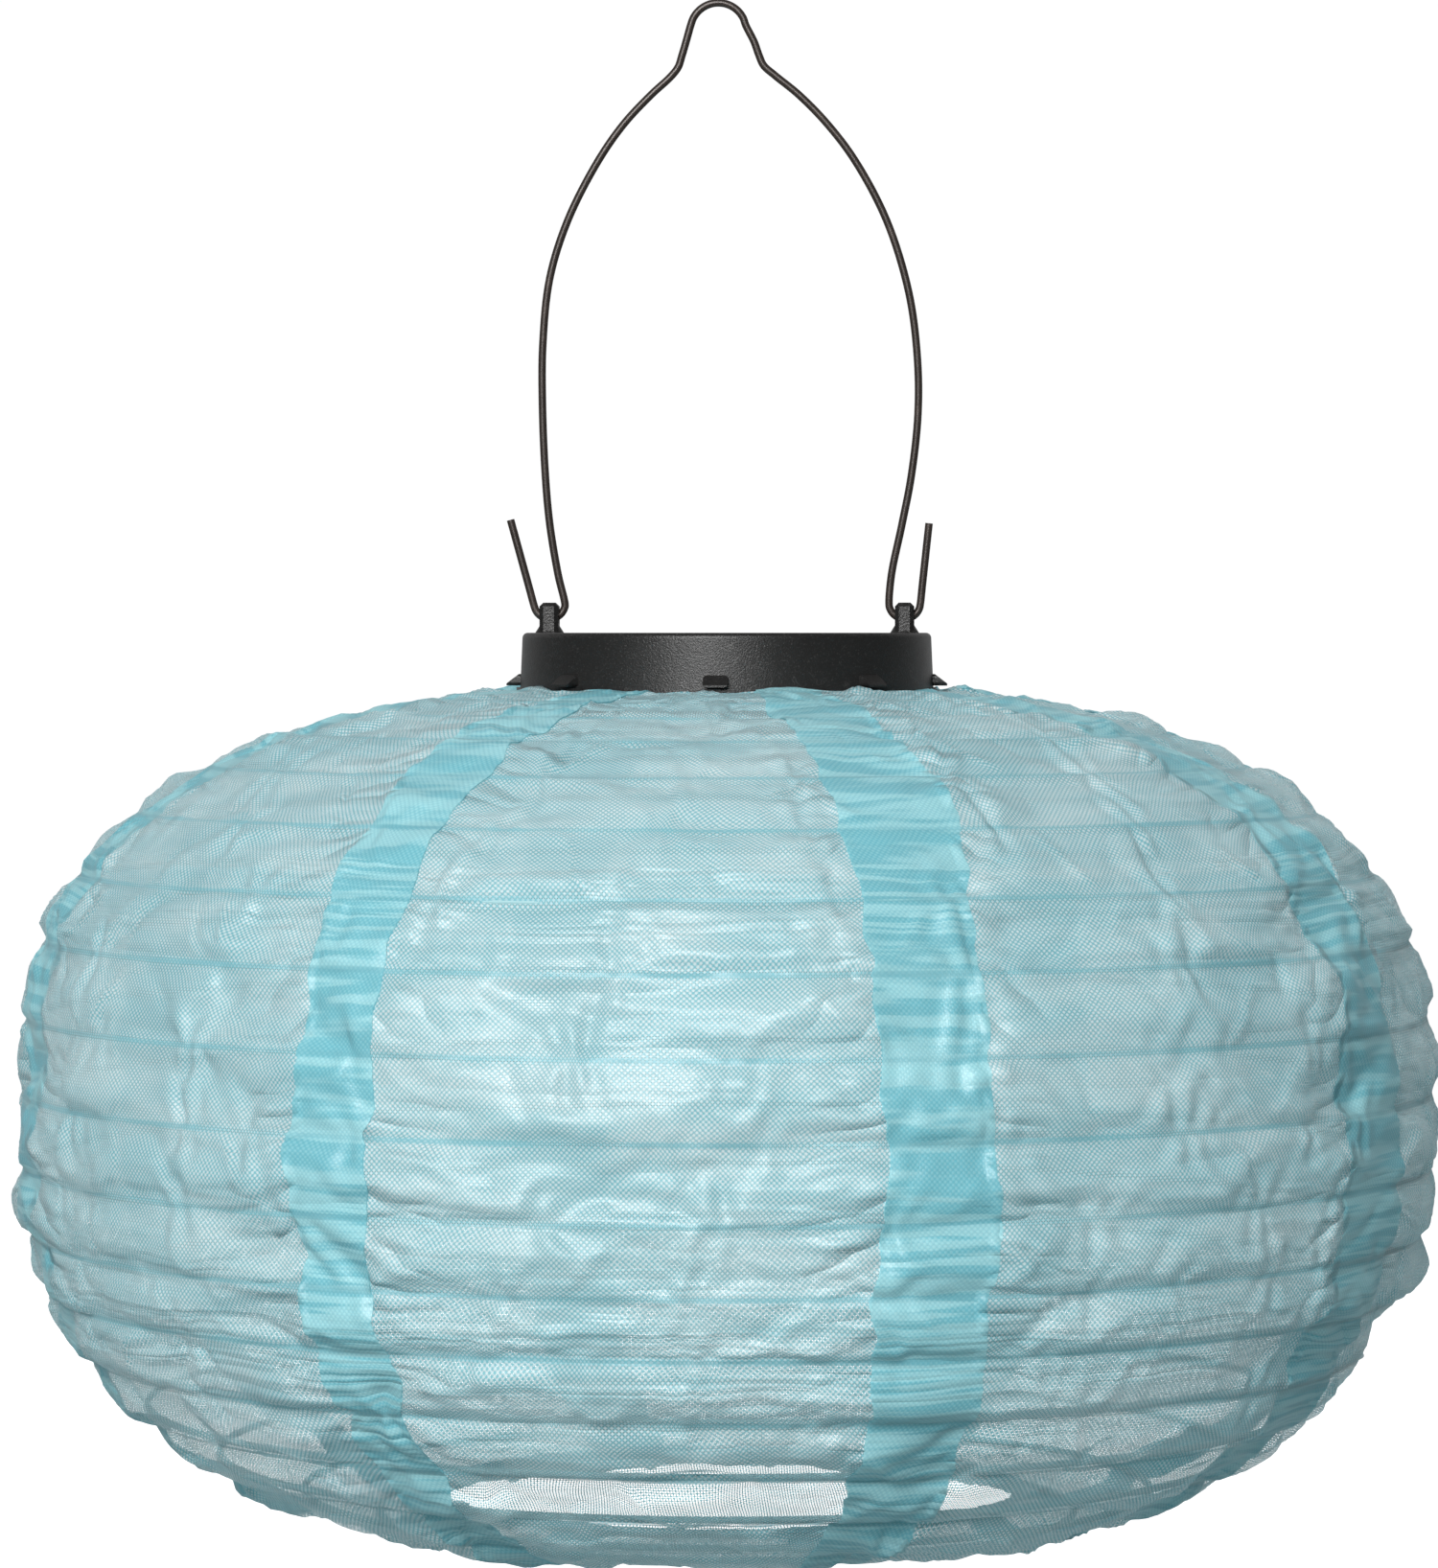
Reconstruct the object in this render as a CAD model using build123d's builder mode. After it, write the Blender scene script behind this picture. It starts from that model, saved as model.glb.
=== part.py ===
"""Hanging solar lantern: a wire bail, a round lamp head and a collapsible cloth shade on wire hoops.

Millimetres, +Z up. The origin is the inside of the bail's hook, where the lantern hangs.
The front is -Y and the bail lies in the XZ plane. A "drop" is a distance below the top of the cap.
"""

import os
from math import atan2, cos, pi, radians, sin

from build123d import *

os.makedirs("parts", exist_ok=True)

# ---------------------------------------------------------------- overall sizes
HANG_HEIGHT = 151.4        # inside of the hook above the top of the cap
SHADE_DIAMETER = 342.0     # over the cloth at its widest
SHADE_TOP_DROP = 13.8      # drop of the shade's upper pole, hidden by the cap
SHADE_MID_DROP = 116.8     # drop of the widest place
SHADE_END_DROP = 221.3     # drop of the shade's lower pole, inside the bottom opening
CAP_DIAMETER = 100.4       # at the cap's lower edge

# ---------------------------------------------------------------- shade
UPPER_FULLNESS = 2.75      # exponent of the upper half's curve: 2 is an ellipse
LOWER_FULLNESS = 2.42
# cloth between neighbouring hoops, from the top ring down to the bottom ring
RIB_GAPS = (18.5, 18.5, 18.5, 20, 20, 20, 17.5, 18.5, 18, 17.5, 16, 14.5, 17, 19, 21, 22.5, 19, 14)
RIB_WIRE = 1.6
END_WIRE = 2.0             # top and bottom rings
TOP_RING_GAP = 0.2         # top ring to the latch tongues
OPENING_RADIUS = 71.0      # centre line of the bottom ring
OPENING_LIFT = 4.0         # bottom ring above the lowest rib
LOWEST_RIB_RADIUS = 84.5
CLOTH = 0.25
CLOTH_CLEARANCE = 0.3      # cloth to the thickest wire
PANEL_COUNT = 8
PANEL_LAP_DEG = 8.0        # overlap of neighbouring panels
PANEL_TURN_DEG = 18.5      # first lap, measured from the front towards the right
PROFILE_STEPS = 15         # spline points on each half of the shade's curve

# ---------------------------------------------------------------- bail
BAIL_WIRE = 1.9
LUG_INSET = 7.1            # centre of each lug inside the cap's lower edge
LUG_WIDTH = 4.6
LUG_DEPTH = 6.4
LUG_HEIGHT = 7.3
LUG_HOLE = 3.8
LUG_HOLE_HEIGHT = 4.0
LUG_FOOT_RADIUS = 3.5
LUG_FOOT_HEIGHT = 1.9
HOOK_EYE_RADIUS = 3.8      # centre line of the turn through each lug
HOOK_EYE_SAG = 0.6         # how far that turn hangs below the hole's centre
FREE_LEG_LEAN = 11.0
FREE_LEG_RISE = 27.0       # free end above the cap
MAIN_LEG_LEAN = 8.0
CROOK_RADIUS = 6.2
# the bow from the lug upwards: half width, and rise above the cap as a share of HANG_HEIGHT
BOW_SIDE = ((44.2, 0.25), (46.0, 0.41), (43.6, 0.555), (39.3, 0.645), (31.8, 0.75), (21.7, 0.84))
# the kink where the bow turns up into the crook
BOW_NECK = ((12.4, 0.895), (9.6, 0.917), (8.2, 0.945))

# ---------------------------------------------------------------- lamp head
CAP_DRAFT = 0.7            # how much the radius grows from top to lower edge
CAP_SKIRT = 16.2
CAP_WALL = 1.9
CAP_CEILING = 2.8
CAP_EDGE_ROUND = 1.3
PANEL_SIDE = 56.0
PANEL_RECESS = 1.3
LATCH_COUNT = 8
NOSE_WIDTH = 5.9
NOSE_TOP = 10.0
NOSE_UNDERSIDE = 12.8
NOSE_REACH = 3.2
TONGUE_WIDTH = 8.9
TONGUE_TOP = 13.2
TONGUE_PROUD = 0.6
BASE_GAP = 0.4             # lamp base to the cap's wall
BASE_WALL = 1.6
BASE_TOP = 10.0
BASE_FLANGE_TOP = 16.5
BASE_FLANGE_REACH = 3.8    # flange beyond the cap
BASE_BOTTOM = 22.2
SCREW_INSET = 12.2         # screw circle inside the cap's lower edge
SCREW_RADIUS = 1.2
BATTERY_Y = 16.0
BATTERY_DROP = 14.8
BATTERY_RADIUS = 5.1
BATTERY_LENGTH = 43.0
BOARD_TOP = 11.4
BOARD = 1.6
LENS_RADIUS = 7.5
LENS_DEPTH = 9.0
SWITCH_Y = -20.0
SWITCH_TRAVEL = 2.0

# ---------------------------------------------------------------- derived
CAP_Z = -HANG_HEIGHT
CAP_RADIUS = CAP_DIAMETER / 2
LUG_X = CAP_RADIUS - LUG_INSET
BASE_RADIUS = CAP_RADIUS - CAP_WALL - BASE_GAP
BASE_FLANGE_RADIUS = CAP_RADIUS + BASE_FLANGE_REACH
SCREW_CIRCLE = CAP_RADIUS - SCREW_INSET
HINGE_Z = CAP_Z + LUG_HOLE_HEIGHT
CLOTH_OFFSET = END_WIRE / 2 + CLOTH_CLEARANCE
RIB_LINE_RADIUS = SHADE_DIAMETER / 2 - CLOTH_OFFSET - 2 * CLOTH - 0.05
TOP_RING_RADIUS = CAP_RADIUS + TONGUE_PROUD + END_WIRE / 2 + TOP_RING_GAP


def level(drop):
    """Height in the part's frame of a place that is `drop` below the cap's top."""
    return CAP_Z - drop


def save(node, name):
    """Write one node as a STEP file under its own name."""
    node.part.label = name
    export_step(node.part, f"parts/{name}.step")


# ================================================================ shade curve
def fullness_drop(radius, pole_drop, exponent):
    """Drop of the shade's curve at a radius, on the side of the given pole."""
    share = (1 - (radius / RIB_LINE_RADIUS) ** exponent) ** (1 / exponent)
    return SHADE_MID_DROP + (pole_drop - SHADE_MID_DROP) * share


def half_points(end_radius, pole_drop, exponent):
    """Points from the widest place to `end_radius`, evenly turned about the middle."""
    reach = SHADE_MID_DROP - pole_drop
    rise = abs(SHADE_MID_DROP - fullness_drop(end_radius, pole_drop, exponent))
    last = atan2(rise, end_radius)
    points = []
    for step in range(PROFILE_STEPS + 1):
        turn = last * step / PROFILE_STEPS
        scale = ((cos(turn) / RIB_LINE_RADIUS) ** exponent
                 + (sin(turn) / abs(reach)) ** exponent) ** (-1 / exponent)
        side = 1 if reach > 0 else -1
        points.append((scale * cos(turn), level(SHADE_MID_DROP - side * scale * sin(turn))))
    return points


upper = half_points(TOP_RING_RADIUS, SHADE_TOP_DROP, UPPER_FULLNESS)
lower = half_points(LOWEST_RIB_RADIUS, SHADE_END_DROP, LOWER_FULLNESS)
lowest_z = lower[-1][1]
turn_in = [((LOWEST_RIB_RADIUS + OPENING_RADIUS) / 2, lowest_z + 0.3 * OPENING_LIFT), (OPENING_RADIUS, lowest_z + OPENING_LIFT)]
with BuildLine(Plane.XZ) as rib_line:
    Spline(*(upper[::-1] + lower[1:] + turn_in))
curve = rib_line.line


def along(share):
    """Radius, height and outward direction of the shade's curve at a share of its length."""
    place, run = curve @ share, curve % share
    return place.X, place.Z, -run.Z, run.X


def rib_share(number):
    """Share of the curve's length at which a rib sits; 0 is the top ring."""
    return sum(RIB_GAPS[:number]) / sum(RIB_GAPS)


def hoop(radius, height, wire):
    with BuildPart() as ring:
        with Locations((0, 0, height)):
            Torus(radius, wire / 2)
    return ring


top_radius, top_z, *_ = along(0)
bottom_radius, bottom_z, *_ = along(1)
save(hoop(top_radius, top_z, END_WIRE), "top_ring")
save(hoop(bottom_radius, bottom_z, END_WIRE), "bottom_ring")
for number in range(1, len(RIB_GAPS)):
    radius, height, *_ = along(rib_share(number))
    save(hoop(radius, height, RIB_WIRE), f"rib_{number:02d}")


# ================================================================ cloth panels
def cloth_points(offset, count=4 * PROFILE_STEPS):
    """Points of the shade's curve moved outwards by `offset`."""
    points = []
    for step in range(count + 1):
        radius, height, out_x, out_z = along(step / count)
        points.append((radius + offset * out_x, height + offset * out_z))
    return points


def cloth_panel(number):
    """One gore. Every second gore is the outer layer, so that neighbours lap."""
    inner = CLOTH_OFFSET + (CLOTH + 0.05) * (number % 2)
    pitch = 360 / PANEL_COUNT
    start = -90 + PANEL_TURN_DEG - PANEL_LAP_DEG / 2 + (number - 1) * pitch
    with BuildPart() as panel:
        with BuildSketch(Plane.XZ):
            with BuildLine():
                inside = Spline(*cloth_points(inner))
                outside = Spline(*cloth_points(inner + CLOTH))
                Line(inside @ 0, outside @ 0)
                Line(inside @ 1, outside @ 1)
            make_face()
        revolve(axis=Axis.Z, revolution_arc=pitch + PANEL_LAP_DEG)
    panel.part = panel.part.rotate(Axis.Z, start)
    return panel


for number in range(1, PANEL_COUNT + 1):
    save(cloth_panel(number), f"cloth_panel_{number}")


# ================================================================ bail
def bail_half(side):
    """Half of the bail's centre line, free end first and hook last, on one side."""
    eye_z = HINGE_Z - HOOK_EYE_SAG + HOOK_EYE_RADIUS
    free, main = radians(FREE_LEG_LEAN), radians(MAIN_LEG_LEAN)
    eye_out = (LUG_X + HOOK_EYE_RADIUS * cos(free), eye_z - HOOK_EYE_RADIUS * sin(free))
    eye_in = (LUG_X - HOOK_EYE_RADIUS * cos(main), eye_z + HOOK_EYE_RADIUS * sin(main))
    tip_z = CAP_Z + FREE_LEG_RISE
    tip = (eye_out[0] + (tip_z - eye_out[1]) * sin(free) / cos(free), tip_z)
    crook_z = BAIL_WIRE / 2 - CROOK_RADIUS

    def at(x, z):
        return (side * x, 0, z)

    Line(at(*tip), at(*eye_out))
    ThreePointArc(at(*eye_out), at(LUG_X, eye_z - HOOK_EYE_RADIUS), at(*eye_in))
    Spline(
        at(*eye_in),
        *[at(width, CAP_Z + rise * HANG_HEIGHT) for width, rise in BOW_SIDE + BOW_NECK],
        at(CROOK_RADIUS, crook_z),
        tangents=[at(sin(main), cos(main)), at(0, 1)],
    )
    # the quarter of the crook on this side
    corner = CROOK_RADIUS * sin(pi / 4)
    ThreePointArc(at(CROOK_RADIUS, crook_z), at(corner, crook_z + corner), (0, 0, BAIL_WIRE / 2))


with BuildPart() as bail_wire:
    for side in (-1, 1):
        with BuildLine() as path:
            bail_half(side)
        with BuildSketch(Plane(origin=path.line @ 0, z_dir=path.line % 0)):
            Circle(BAIL_WIRE / 2)
        sweep(path=path.line)
save(bail_wire, "bail_wire")


# ================================================================ cap
def lug():
    """One eye for the bail, standing on the cap."""
    with BuildPart() as eye:
        with Locations((0, 0, (LUG_HEIGHT - 1) / 2)):
            Box(LUG_WIDTH, LUG_DEPTH, LUG_HEIGHT + 1)
        chamfer(eye.edges().filter_by(Axis.Z), 1.0)
        chamfer(eye.faces().sort_by(Axis.Z)[-1].edges(), 0.9)
        with Locations((0, 0, LUG_FOOT_HEIGHT / 2)):
            Cone(LUG_FOOT_RADIUS, LUG_WIDTH / 2, LUG_FOOT_HEIGHT)
        with Locations(Location((0, 0, LUG_HOLE_HEIGHT), (0, 90, 0))):
            Cylinder(LUG_HOLE / 2, 4 * LUG_WIDTH, mode=Mode.SUBTRACT)
    return eye.part


def latch():
    """A snap nose over its tongue, reaching out along +X at the cap's skirt."""
    root = CAP_RADIUS - CAP_WALL / 2
    reach = CAP_RADIUS + NOSE_REACH
    with BuildPart() as snap:
        with BuildSketch(Plane.YZ.offset(root)):
            with Locations((0, level((NOSE_TOP + NOSE_UNDERSIDE) / 2))):
                RectangleRounded(NOSE_WIDTH, NOSE_UNDERSIDE - NOSE_TOP, 0.9)
        extrude(amount=reach - root)
        with BuildSketch(Plane.XZ):
            with BuildLine():
                Polyline(
                    (root - 1, level(NOSE_TOP - 0.4)), (CAP_RADIUS + 0.2, level(NOSE_TOP)),
                    (reach, level(NOSE_UNDERSIDE - 0.5)), (reach, level(NOSE_UNDERSIDE)),
                    (root - 1, level(NOSE_UNDERSIDE)), close=True,
                )
            make_face()
        extrude(amount=NOSE_WIDTH, both=True, mode=Mode.INTERSECT)
        with Locations(((root + CAP_RADIUS + TONGUE_PROUD) / 2, 0, level((TONGUE_TOP + CAP_SKIRT) / 2))):
            Box(CAP_RADIUS + TONGUE_PROUD - root, TONGUE_WIDTH, CAP_SKIRT - TONGUE_TOP)
    return snap.part


with BuildPart() as cap_shell:
    with BuildSketch(Plane.XZ):
        with BuildLine():
            Polyline(
                (0, level(0)), (CAP_RADIUS - CAP_DRAFT, level(0)), (CAP_RADIUS, level(CAP_SKIRT)),
                (CAP_RADIUS - CAP_WALL, level(CAP_SKIRT)), (CAP_RADIUS - CAP_WALL, level(CAP_CEILING)),
                (0, level(CAP_CEILING)), close=True,
            )
        make_face()
    revolve(axis=Axis.Z)
    fillet(cap_shell.edges().filter_by(GeomType.CIRCLE).group_by(Axis.Z)[-1], CAP_EDGE_ROUND)
    with Locations((0, 0, level(PANEL_RECESS / 2))):
        Box(PANEL_SIDE + 1, PANEL_SIDE + 1, PANEL_RECESS, mode=Mode.SUBTRACT)
    with Locations((5, -12, level(CAP_CEILING / 2))):
        Cylinder(2.5, 2 * CAP_CEILING, mode=Mode.SUBTRACT)
    for side in (-1, 1):
        with Locations((side * LUG_X, 0, CAP_Z)):
            add(lug())
    with PolarLocations(0, LATCH_COUNT):
        add(latch())
    with PolarLocations(SCREW_CIRCLE, 4, start_angle=45):
        with Locations((0, 0, level((CAP_CEILING + 14) / 2))):
            Cylinder(3.2, 14 - CAP_CEILING)
        with Locations((0, 0, level(10))):
            Cylinder(SCREW_RADIUS + 0.05, 8.01, mode=Mode.SUBTRACT)
save(cap_shell, "cap_shell")


# ================================================================ solar panel
def plate(x, y, low_drop, thickness, length, width, corner=None):
    """A flat rectangular piece whose underside is at `low_drop`."""
    with BuildPart() as flat:
        with BuildSketch(Plane.XY.offset(level(low_drop))):
            with Locations((x, y)):
                if corner:
                    RectangleRounded(length, width, corner)
                else:
                    Rectangle(length, width)
        extrude(amount=thickness)
    return flat


save(plate(0, 0, PANEL_RECESS, 0.45, PANEL_SIDE, PANEL_SIDE, 1.0), "solar_cells")
save(plate(0, 0, PANEL_RECESS - 0.45, 0.7, PANEL_SIDE, PANEL_SIDE, 1.0), "panel_cover")

# ================================================================ lamp base
door_length, door_width, door_plate = 63.0, 15.0, 1.2
door_x = 1.5
bay_length, bay_width = 50.0, 11.2
door_screw_x = 29.0
with BuildPart() as lamp_base:
    with Locations((0, 0, level((BASE_TOP + BASE_BOTTOM) / 2))):
        Cylinder(BASE_RADIUS, BASE_BOTTOM - BASE_TOP)
    fillet(lamp_base.edges().sort_by(Axis.Z)[0], 1.2)
    with Locations((0, 0, level(BASE_FLANGE_TOP + 0.8))):
        Cylinder(BASE_FLANGE_RADIUS, 1.6)
    with Locations((0, 0, level((BASE_TOP + BASE_BOTTOM - BASE_WALL) / 2))):
        Cylinder(BASE_RADIUS - BASE_WALL, BASE_BOTTOM - BASE_WALL - BASE_TOP, mode=Mode.SUBTRACT)
    floor_drop = BASE_BOTTOM - BASE_WALL
    with PolarLocations(SCREW_CIRCLE, 4, start_angle=45):
        with Locations((0, 0, level((14.2 + BASE_BOTTOM) / 2))):
            Cylinder(3.8, BASE_BOTTOM - 14.2)
        with Locations((0, 0, level((16 + BASE_BOTTOM) / 2))):
            Cylinder(2.9, BASE_BOTTOM - 16, mode=Mode.SUBTRACT)
        with Locations((0, 0, level(15))):
            Cylinder(SCREW_RADIUS + 0.15, 4, mode=Mode.SUBTRACT)
    # battery bay: end walls, opening and the boss of the door's screw
    for wall_x in (24.8, -27.8):
        with Locations((wall_x, BATTERY_Y, level((12 + floor_drop) / 2))):
            Box(1.6, bay_width, floor_drop - 12)
    with Locations((-1.5, BATTERY_Y, level(BASE_BOTTOM - BASE_WALL / 2))):
        Box(bay_length, bay_width, BASE_WALL, mode=Mode.SUBTRACT)
    with Locations((door_screw_x, BATTERY_Y, level((15 + BASE_BOTTOM) / 2))):
        Cylinder(2.6, BASE_BOTTOM - 15)
        Cylinder(SCREW_RADIUS + 0.05, BASE_BOTTOM - 15, mode=Mode.SUBTRACT)
    # board pillars, lamp hole and switch slot
    for pillar_x in (-16, 16):
        with Locations((pillar_x, -24, level((BOARD_TOP + BOARD + floor_drop) / 2))):
            Cylinder(2, floor_drop - BOARD_TOP - BOARD)
    with Locations((0, 0, level(BASE_BOTTOM - BASE_WALL / 2))):
        Cylinder(3.2, BASE_WALL, mode=Mode.SUBTRACT)
    with Locations((0, SWITCH_Y, level(BASE_BOTTOM - BASE_WALL / 2))):
        Box(SWITCH_TRAVEL + 3.6, 2.4, BASE_WALL, mode=Mode.SUBTRACT)
save(lamp_base, "lamp_base")

with BuildPart() as battery_door:
    add(plate(door_x, BATTERY_Y, BASE_BOTTOM + door_plate, door_plate, door_length, door_width, 2).part)
    add(plate(-1.5, BATTERY_Y, BASE_BOTTOM, 1.0, bay_length - 0.6, bay_width - 0.6).part)
    with Locations((door_screw_x, BATTERY_Y, level(BASE_BOTTOM + door_plate / 2))):
        Cylinder(SCREW_RADIUS + 0.15, door_plate, mode=Mode.SUBTRACT)
save(battery_door, "battery_door")


def screw(x, y, seat_drop, length):
    """Pan-head screw driven upwards, its head below `seat_drop`."""
    with BuildPart() as fastener:
        with Locations((x, y, level(seat_drop + 0.8))):
            Cylinder(2.4, 1.6)
        fillet(fastener.edges().filter_by(GeomType.CIRCLE).sort_by(Axis.Z)[0], 0.6)
        with Locations((x, y, level(seat_drop - length / 2))):
            Cylinder(SCREW_RADIUS, length)
        with Locations((x, y, level(seat_drop + 1.4))):
            Box(2.6, 0.6, 0.6, mode=Mode.SUBTRACT)
            Box(0.6, 2.6, 0.6, mode=Mode.SUBTRACT)
    return fastener.part


with BuildPart() as case_screws:
    for quarter in range(4):
        angle = radians(45 + 90 * quarter)
        add(screw(SCREW_CIRCLE * cos(angle), SCREW_CIRCLE * sin(angle), 16.0, 8.0))
save(case_screws, "case_screws")

with BuildPart() as door_screw:
    add(screw(door_screw_x, BATTERY_Y, BASE_BOTTOM + door_plate, 6.0))
save(door_screw, "door_screw")

# ================================================================ electrics
with BuildPart() as battery:
    with Locations(Location((-0.5, BATTERY_Y, level(BATTERY_DROP)), (0, 90, 0))):
        Cylinder(BATTERY_RADIUS, BATTERY_LENGTH)
    fillet(battery.edges().filter_by(GeomType.CIRCLE), 0.5)
    with Locations(Location((BATTERY_LENGTH / 2 - 0.1, BATTERY_Y, level(BATTERY_DROP)), (0, 90, 0))):
        Cylinder(1.9, 0.8 + 0.8)
save(battery, "battery")

with BuildPart() as contact_plate:
    with Locations((23.2, BATTERY_Y, level(BATTERY_DROP))):
        Box(0.5, 8, 8)
save(contact_plate, "contact_plate")

spring_radius, spring_wire, spring_length = 2.8, 0.5, 3.6
with BuildPart() as contact_spring:
    with BuildLine() as coil:
        Helix(pitch=spring_length / 4, height=spring_length, radius=spring_radius,
              center=(-26.4, BATTERY_Y, level(BATTERY_DROP)), direction=(1, 0, 0))
    with BuildSketch(Plane(origin=coil.line @ 0, z_dir=coil.line % 0)):
        Circle(spring_wire / 2)
    sweep(path=coil.line)
save(contact_spring, "contact_spring")

with BuildPart() as circuit_board:
    add(plate(0, -11.5, BOARD_TOP + BOARD, BOARD, 42, 36, 1).part)
    for side in (-1, 1):
        with Locations((side * 1.27, 0, level(BOARD_TOP + BOARD / 2))):
            Cylinder(0.45, 2 * BOARD, mode=Mode.SUBTRACT)
    # controller, coil and resistors on the upper face
    for x, y, length, width, height in ((-10, -16, 5, 4, 1.5), (10, -20, 4, 4, 3.0), (-12, -4, 3, 1.6, 0.6), (12, -4, 3, 1.6, 0.6)):
        with Locations((x, y, level(BOARD_TOP - height / 2))):
            Box(length, width, height)
save(circuit_board, "circuit_board")

with BuildPart() as lamp_led:
    with Locations((0, 0, level(18.2))):
        Cylinder(2.5, 5.4)
    with Locations((0, 0, level(20.9))):
        Sphere(2.5)
    with Locations((0, 0, level(15.0))):
        Cylinder(2.9, 1.0)
    for side in (-1, 1):
        with Locations((side * 1.27, 0, level((BOARD_TOP + 14.6) / 2))):
            Cylinder(0.25, 14.6 - BOARD_TOP)
save(lamp_led, "lamp_led")

with BuildPart() as light_lens:
    with BuildSketch(Plane.XZ):
        with BuildLine():
            crown = BASE_BOTTOM + LENS_DEPTH
            Polyline((LENS_RADIUS - 1.2, level(BASE_BOTTOM)), (LENS_RADIUS, level(BASE_BOTTOM)),
                     (LENS_RADIUS, level(crown - LENS_RADIUS)))
            RadiusArc((LENS_RADIUS, level(crown - LENS_RADIUS)), (0, level(crown)), LENS_RADIUS)
            Line((0, level(crown)), (0, level(crown - 1.2)))
            RadiusArc((0, level(crown - 1.2)), (LENS_RADIUS - 1.2, level(crown - LENS_RADIUS)), -(LENS_RADIUS - 1.2))
            Line((LENS_RADIUS - 1.2, level(crown - LENS_RADIUS)), (LENS_RADIUS - 1.2, level(BASE_BOTTOM)))
        make_face()
    revolve(axis=Axis.Z)
save(light_lens, "light_lens")

slider_length, slider_width = 2.6, 1.7
with BuildPart() as switch_body:
    add(plate(0, SWITCH_Y, 16.8, 16.8 - BOARD_TOP - BOARD, 8.6, 4.4).part)
    with Locations((0, SWITCH_Y, level(15.8))):
        Box(slider_length + SWITCH_TRAVEL + 0.7, slider_width + 0.7, 2.0, mode=Mode.SUBTRACT)
save(switch_body, "switch_body")

with BuildPart() as switch_slider:
    add(plate(-SWITCH_TRAVEL / 2, SWITCH_Y, BASE_BOTTOM + 1.9, BASE_BOTTOM + 1.9 - 15.2, slider_length, slider_width).part)
    add(plate(-SWITCH_TRAVEL / 2, SWITCH_Y, BASE_BOTTOM + 2.0, 1.5, 4.4, 2.8, 0.6).part)
save(switch_slider, "switch_slider")


def lead(*points, wire=1.0):
    """A short insulated wire along a smooth path of (x, y, drop) points."""
    with BuildPart() as run:
        with BuildLine() as path:
            Spline(*[(x, y, level(drop)) for x, y, drop in points])
        with BuildSketch(Plane(origin=path.line @ 0, z_dir=path.line % 0)):
            Circle(wire / 2)
        sweep(path=path.line)
    return run.part


with BuildPart() as panel_leads:
    for side in (-1, 1):
        add(lead((5 + side, -12, 1.9), (5 + 1.6 * side, -13, 6.5), (5 + side, -12, BOARD_TOP - 0.2)))
save(panel_leads, "panel_leads")

with BuildPart() as battery_leads:
    for side in (-1, 1):
        add(lead((side * 23.2, 9.6, 12.5), (side * 20.5, 8.4, 9.4), (side * 17.0, 4.2, BOARD_TOP - 0.7)))
save(battery_leads, "battery_leads")

# ---------------------------------------------------------------- sizes for the record
print(f"cap top z {CAP_Z:.2f}, hinge z {HINGE_Z:.2f}, top ring r {top_radius:.2f} z {top_z:.2f}, "
      f"bottom ring r {bottom_radius:.2f} z {bottom_z:.2f}")
for number in range(1, len(RIB_GAPS)):
    radius, height, *_ = along(rib_share(number))
    print(f"rib_{number:02d} r {radius:.2f} z {height:.2f} drop {CAP_Z - height:.1f} "
          f"ratio {(top_z - height) / (top_z - bottom_z):.5f}")
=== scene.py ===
"""Hanging solar lantern: a cloth shade on wire hoops, a wire bail and a black lamp head.

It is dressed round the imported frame. Metres, +Z up, front -Y. The origin is the inside of the bail's crook.
The cloth is relaxed in millimetres and then scaled.
"""

import logging
import math
from dataclasses import dataclass, field
from enum import Enum
from typing import Any, Sequence, Union

import bpy
import numpy as np
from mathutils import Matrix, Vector


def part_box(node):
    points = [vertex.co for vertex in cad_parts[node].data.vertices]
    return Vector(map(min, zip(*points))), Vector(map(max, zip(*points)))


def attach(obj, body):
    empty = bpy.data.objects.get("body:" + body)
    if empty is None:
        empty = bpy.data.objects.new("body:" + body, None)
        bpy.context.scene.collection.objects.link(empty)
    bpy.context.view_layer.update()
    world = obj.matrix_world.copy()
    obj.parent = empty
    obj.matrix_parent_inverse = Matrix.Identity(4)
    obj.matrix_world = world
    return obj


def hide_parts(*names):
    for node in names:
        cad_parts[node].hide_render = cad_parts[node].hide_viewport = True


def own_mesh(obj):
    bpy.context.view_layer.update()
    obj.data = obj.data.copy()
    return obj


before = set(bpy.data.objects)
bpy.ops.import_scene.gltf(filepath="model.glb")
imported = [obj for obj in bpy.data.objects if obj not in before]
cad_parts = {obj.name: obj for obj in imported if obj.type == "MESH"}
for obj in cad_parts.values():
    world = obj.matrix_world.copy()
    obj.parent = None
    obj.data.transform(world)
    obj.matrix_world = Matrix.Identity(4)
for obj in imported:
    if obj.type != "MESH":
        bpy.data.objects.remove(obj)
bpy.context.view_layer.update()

MM = 0.001
LOG = logging.getLogger("lantern")

Colour = tuple[float, float, float, float]
Key = Union[str, int]
Pair = tuple[float, float]
Point = tuple[float, float, float]
Array = np.ndarray


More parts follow.
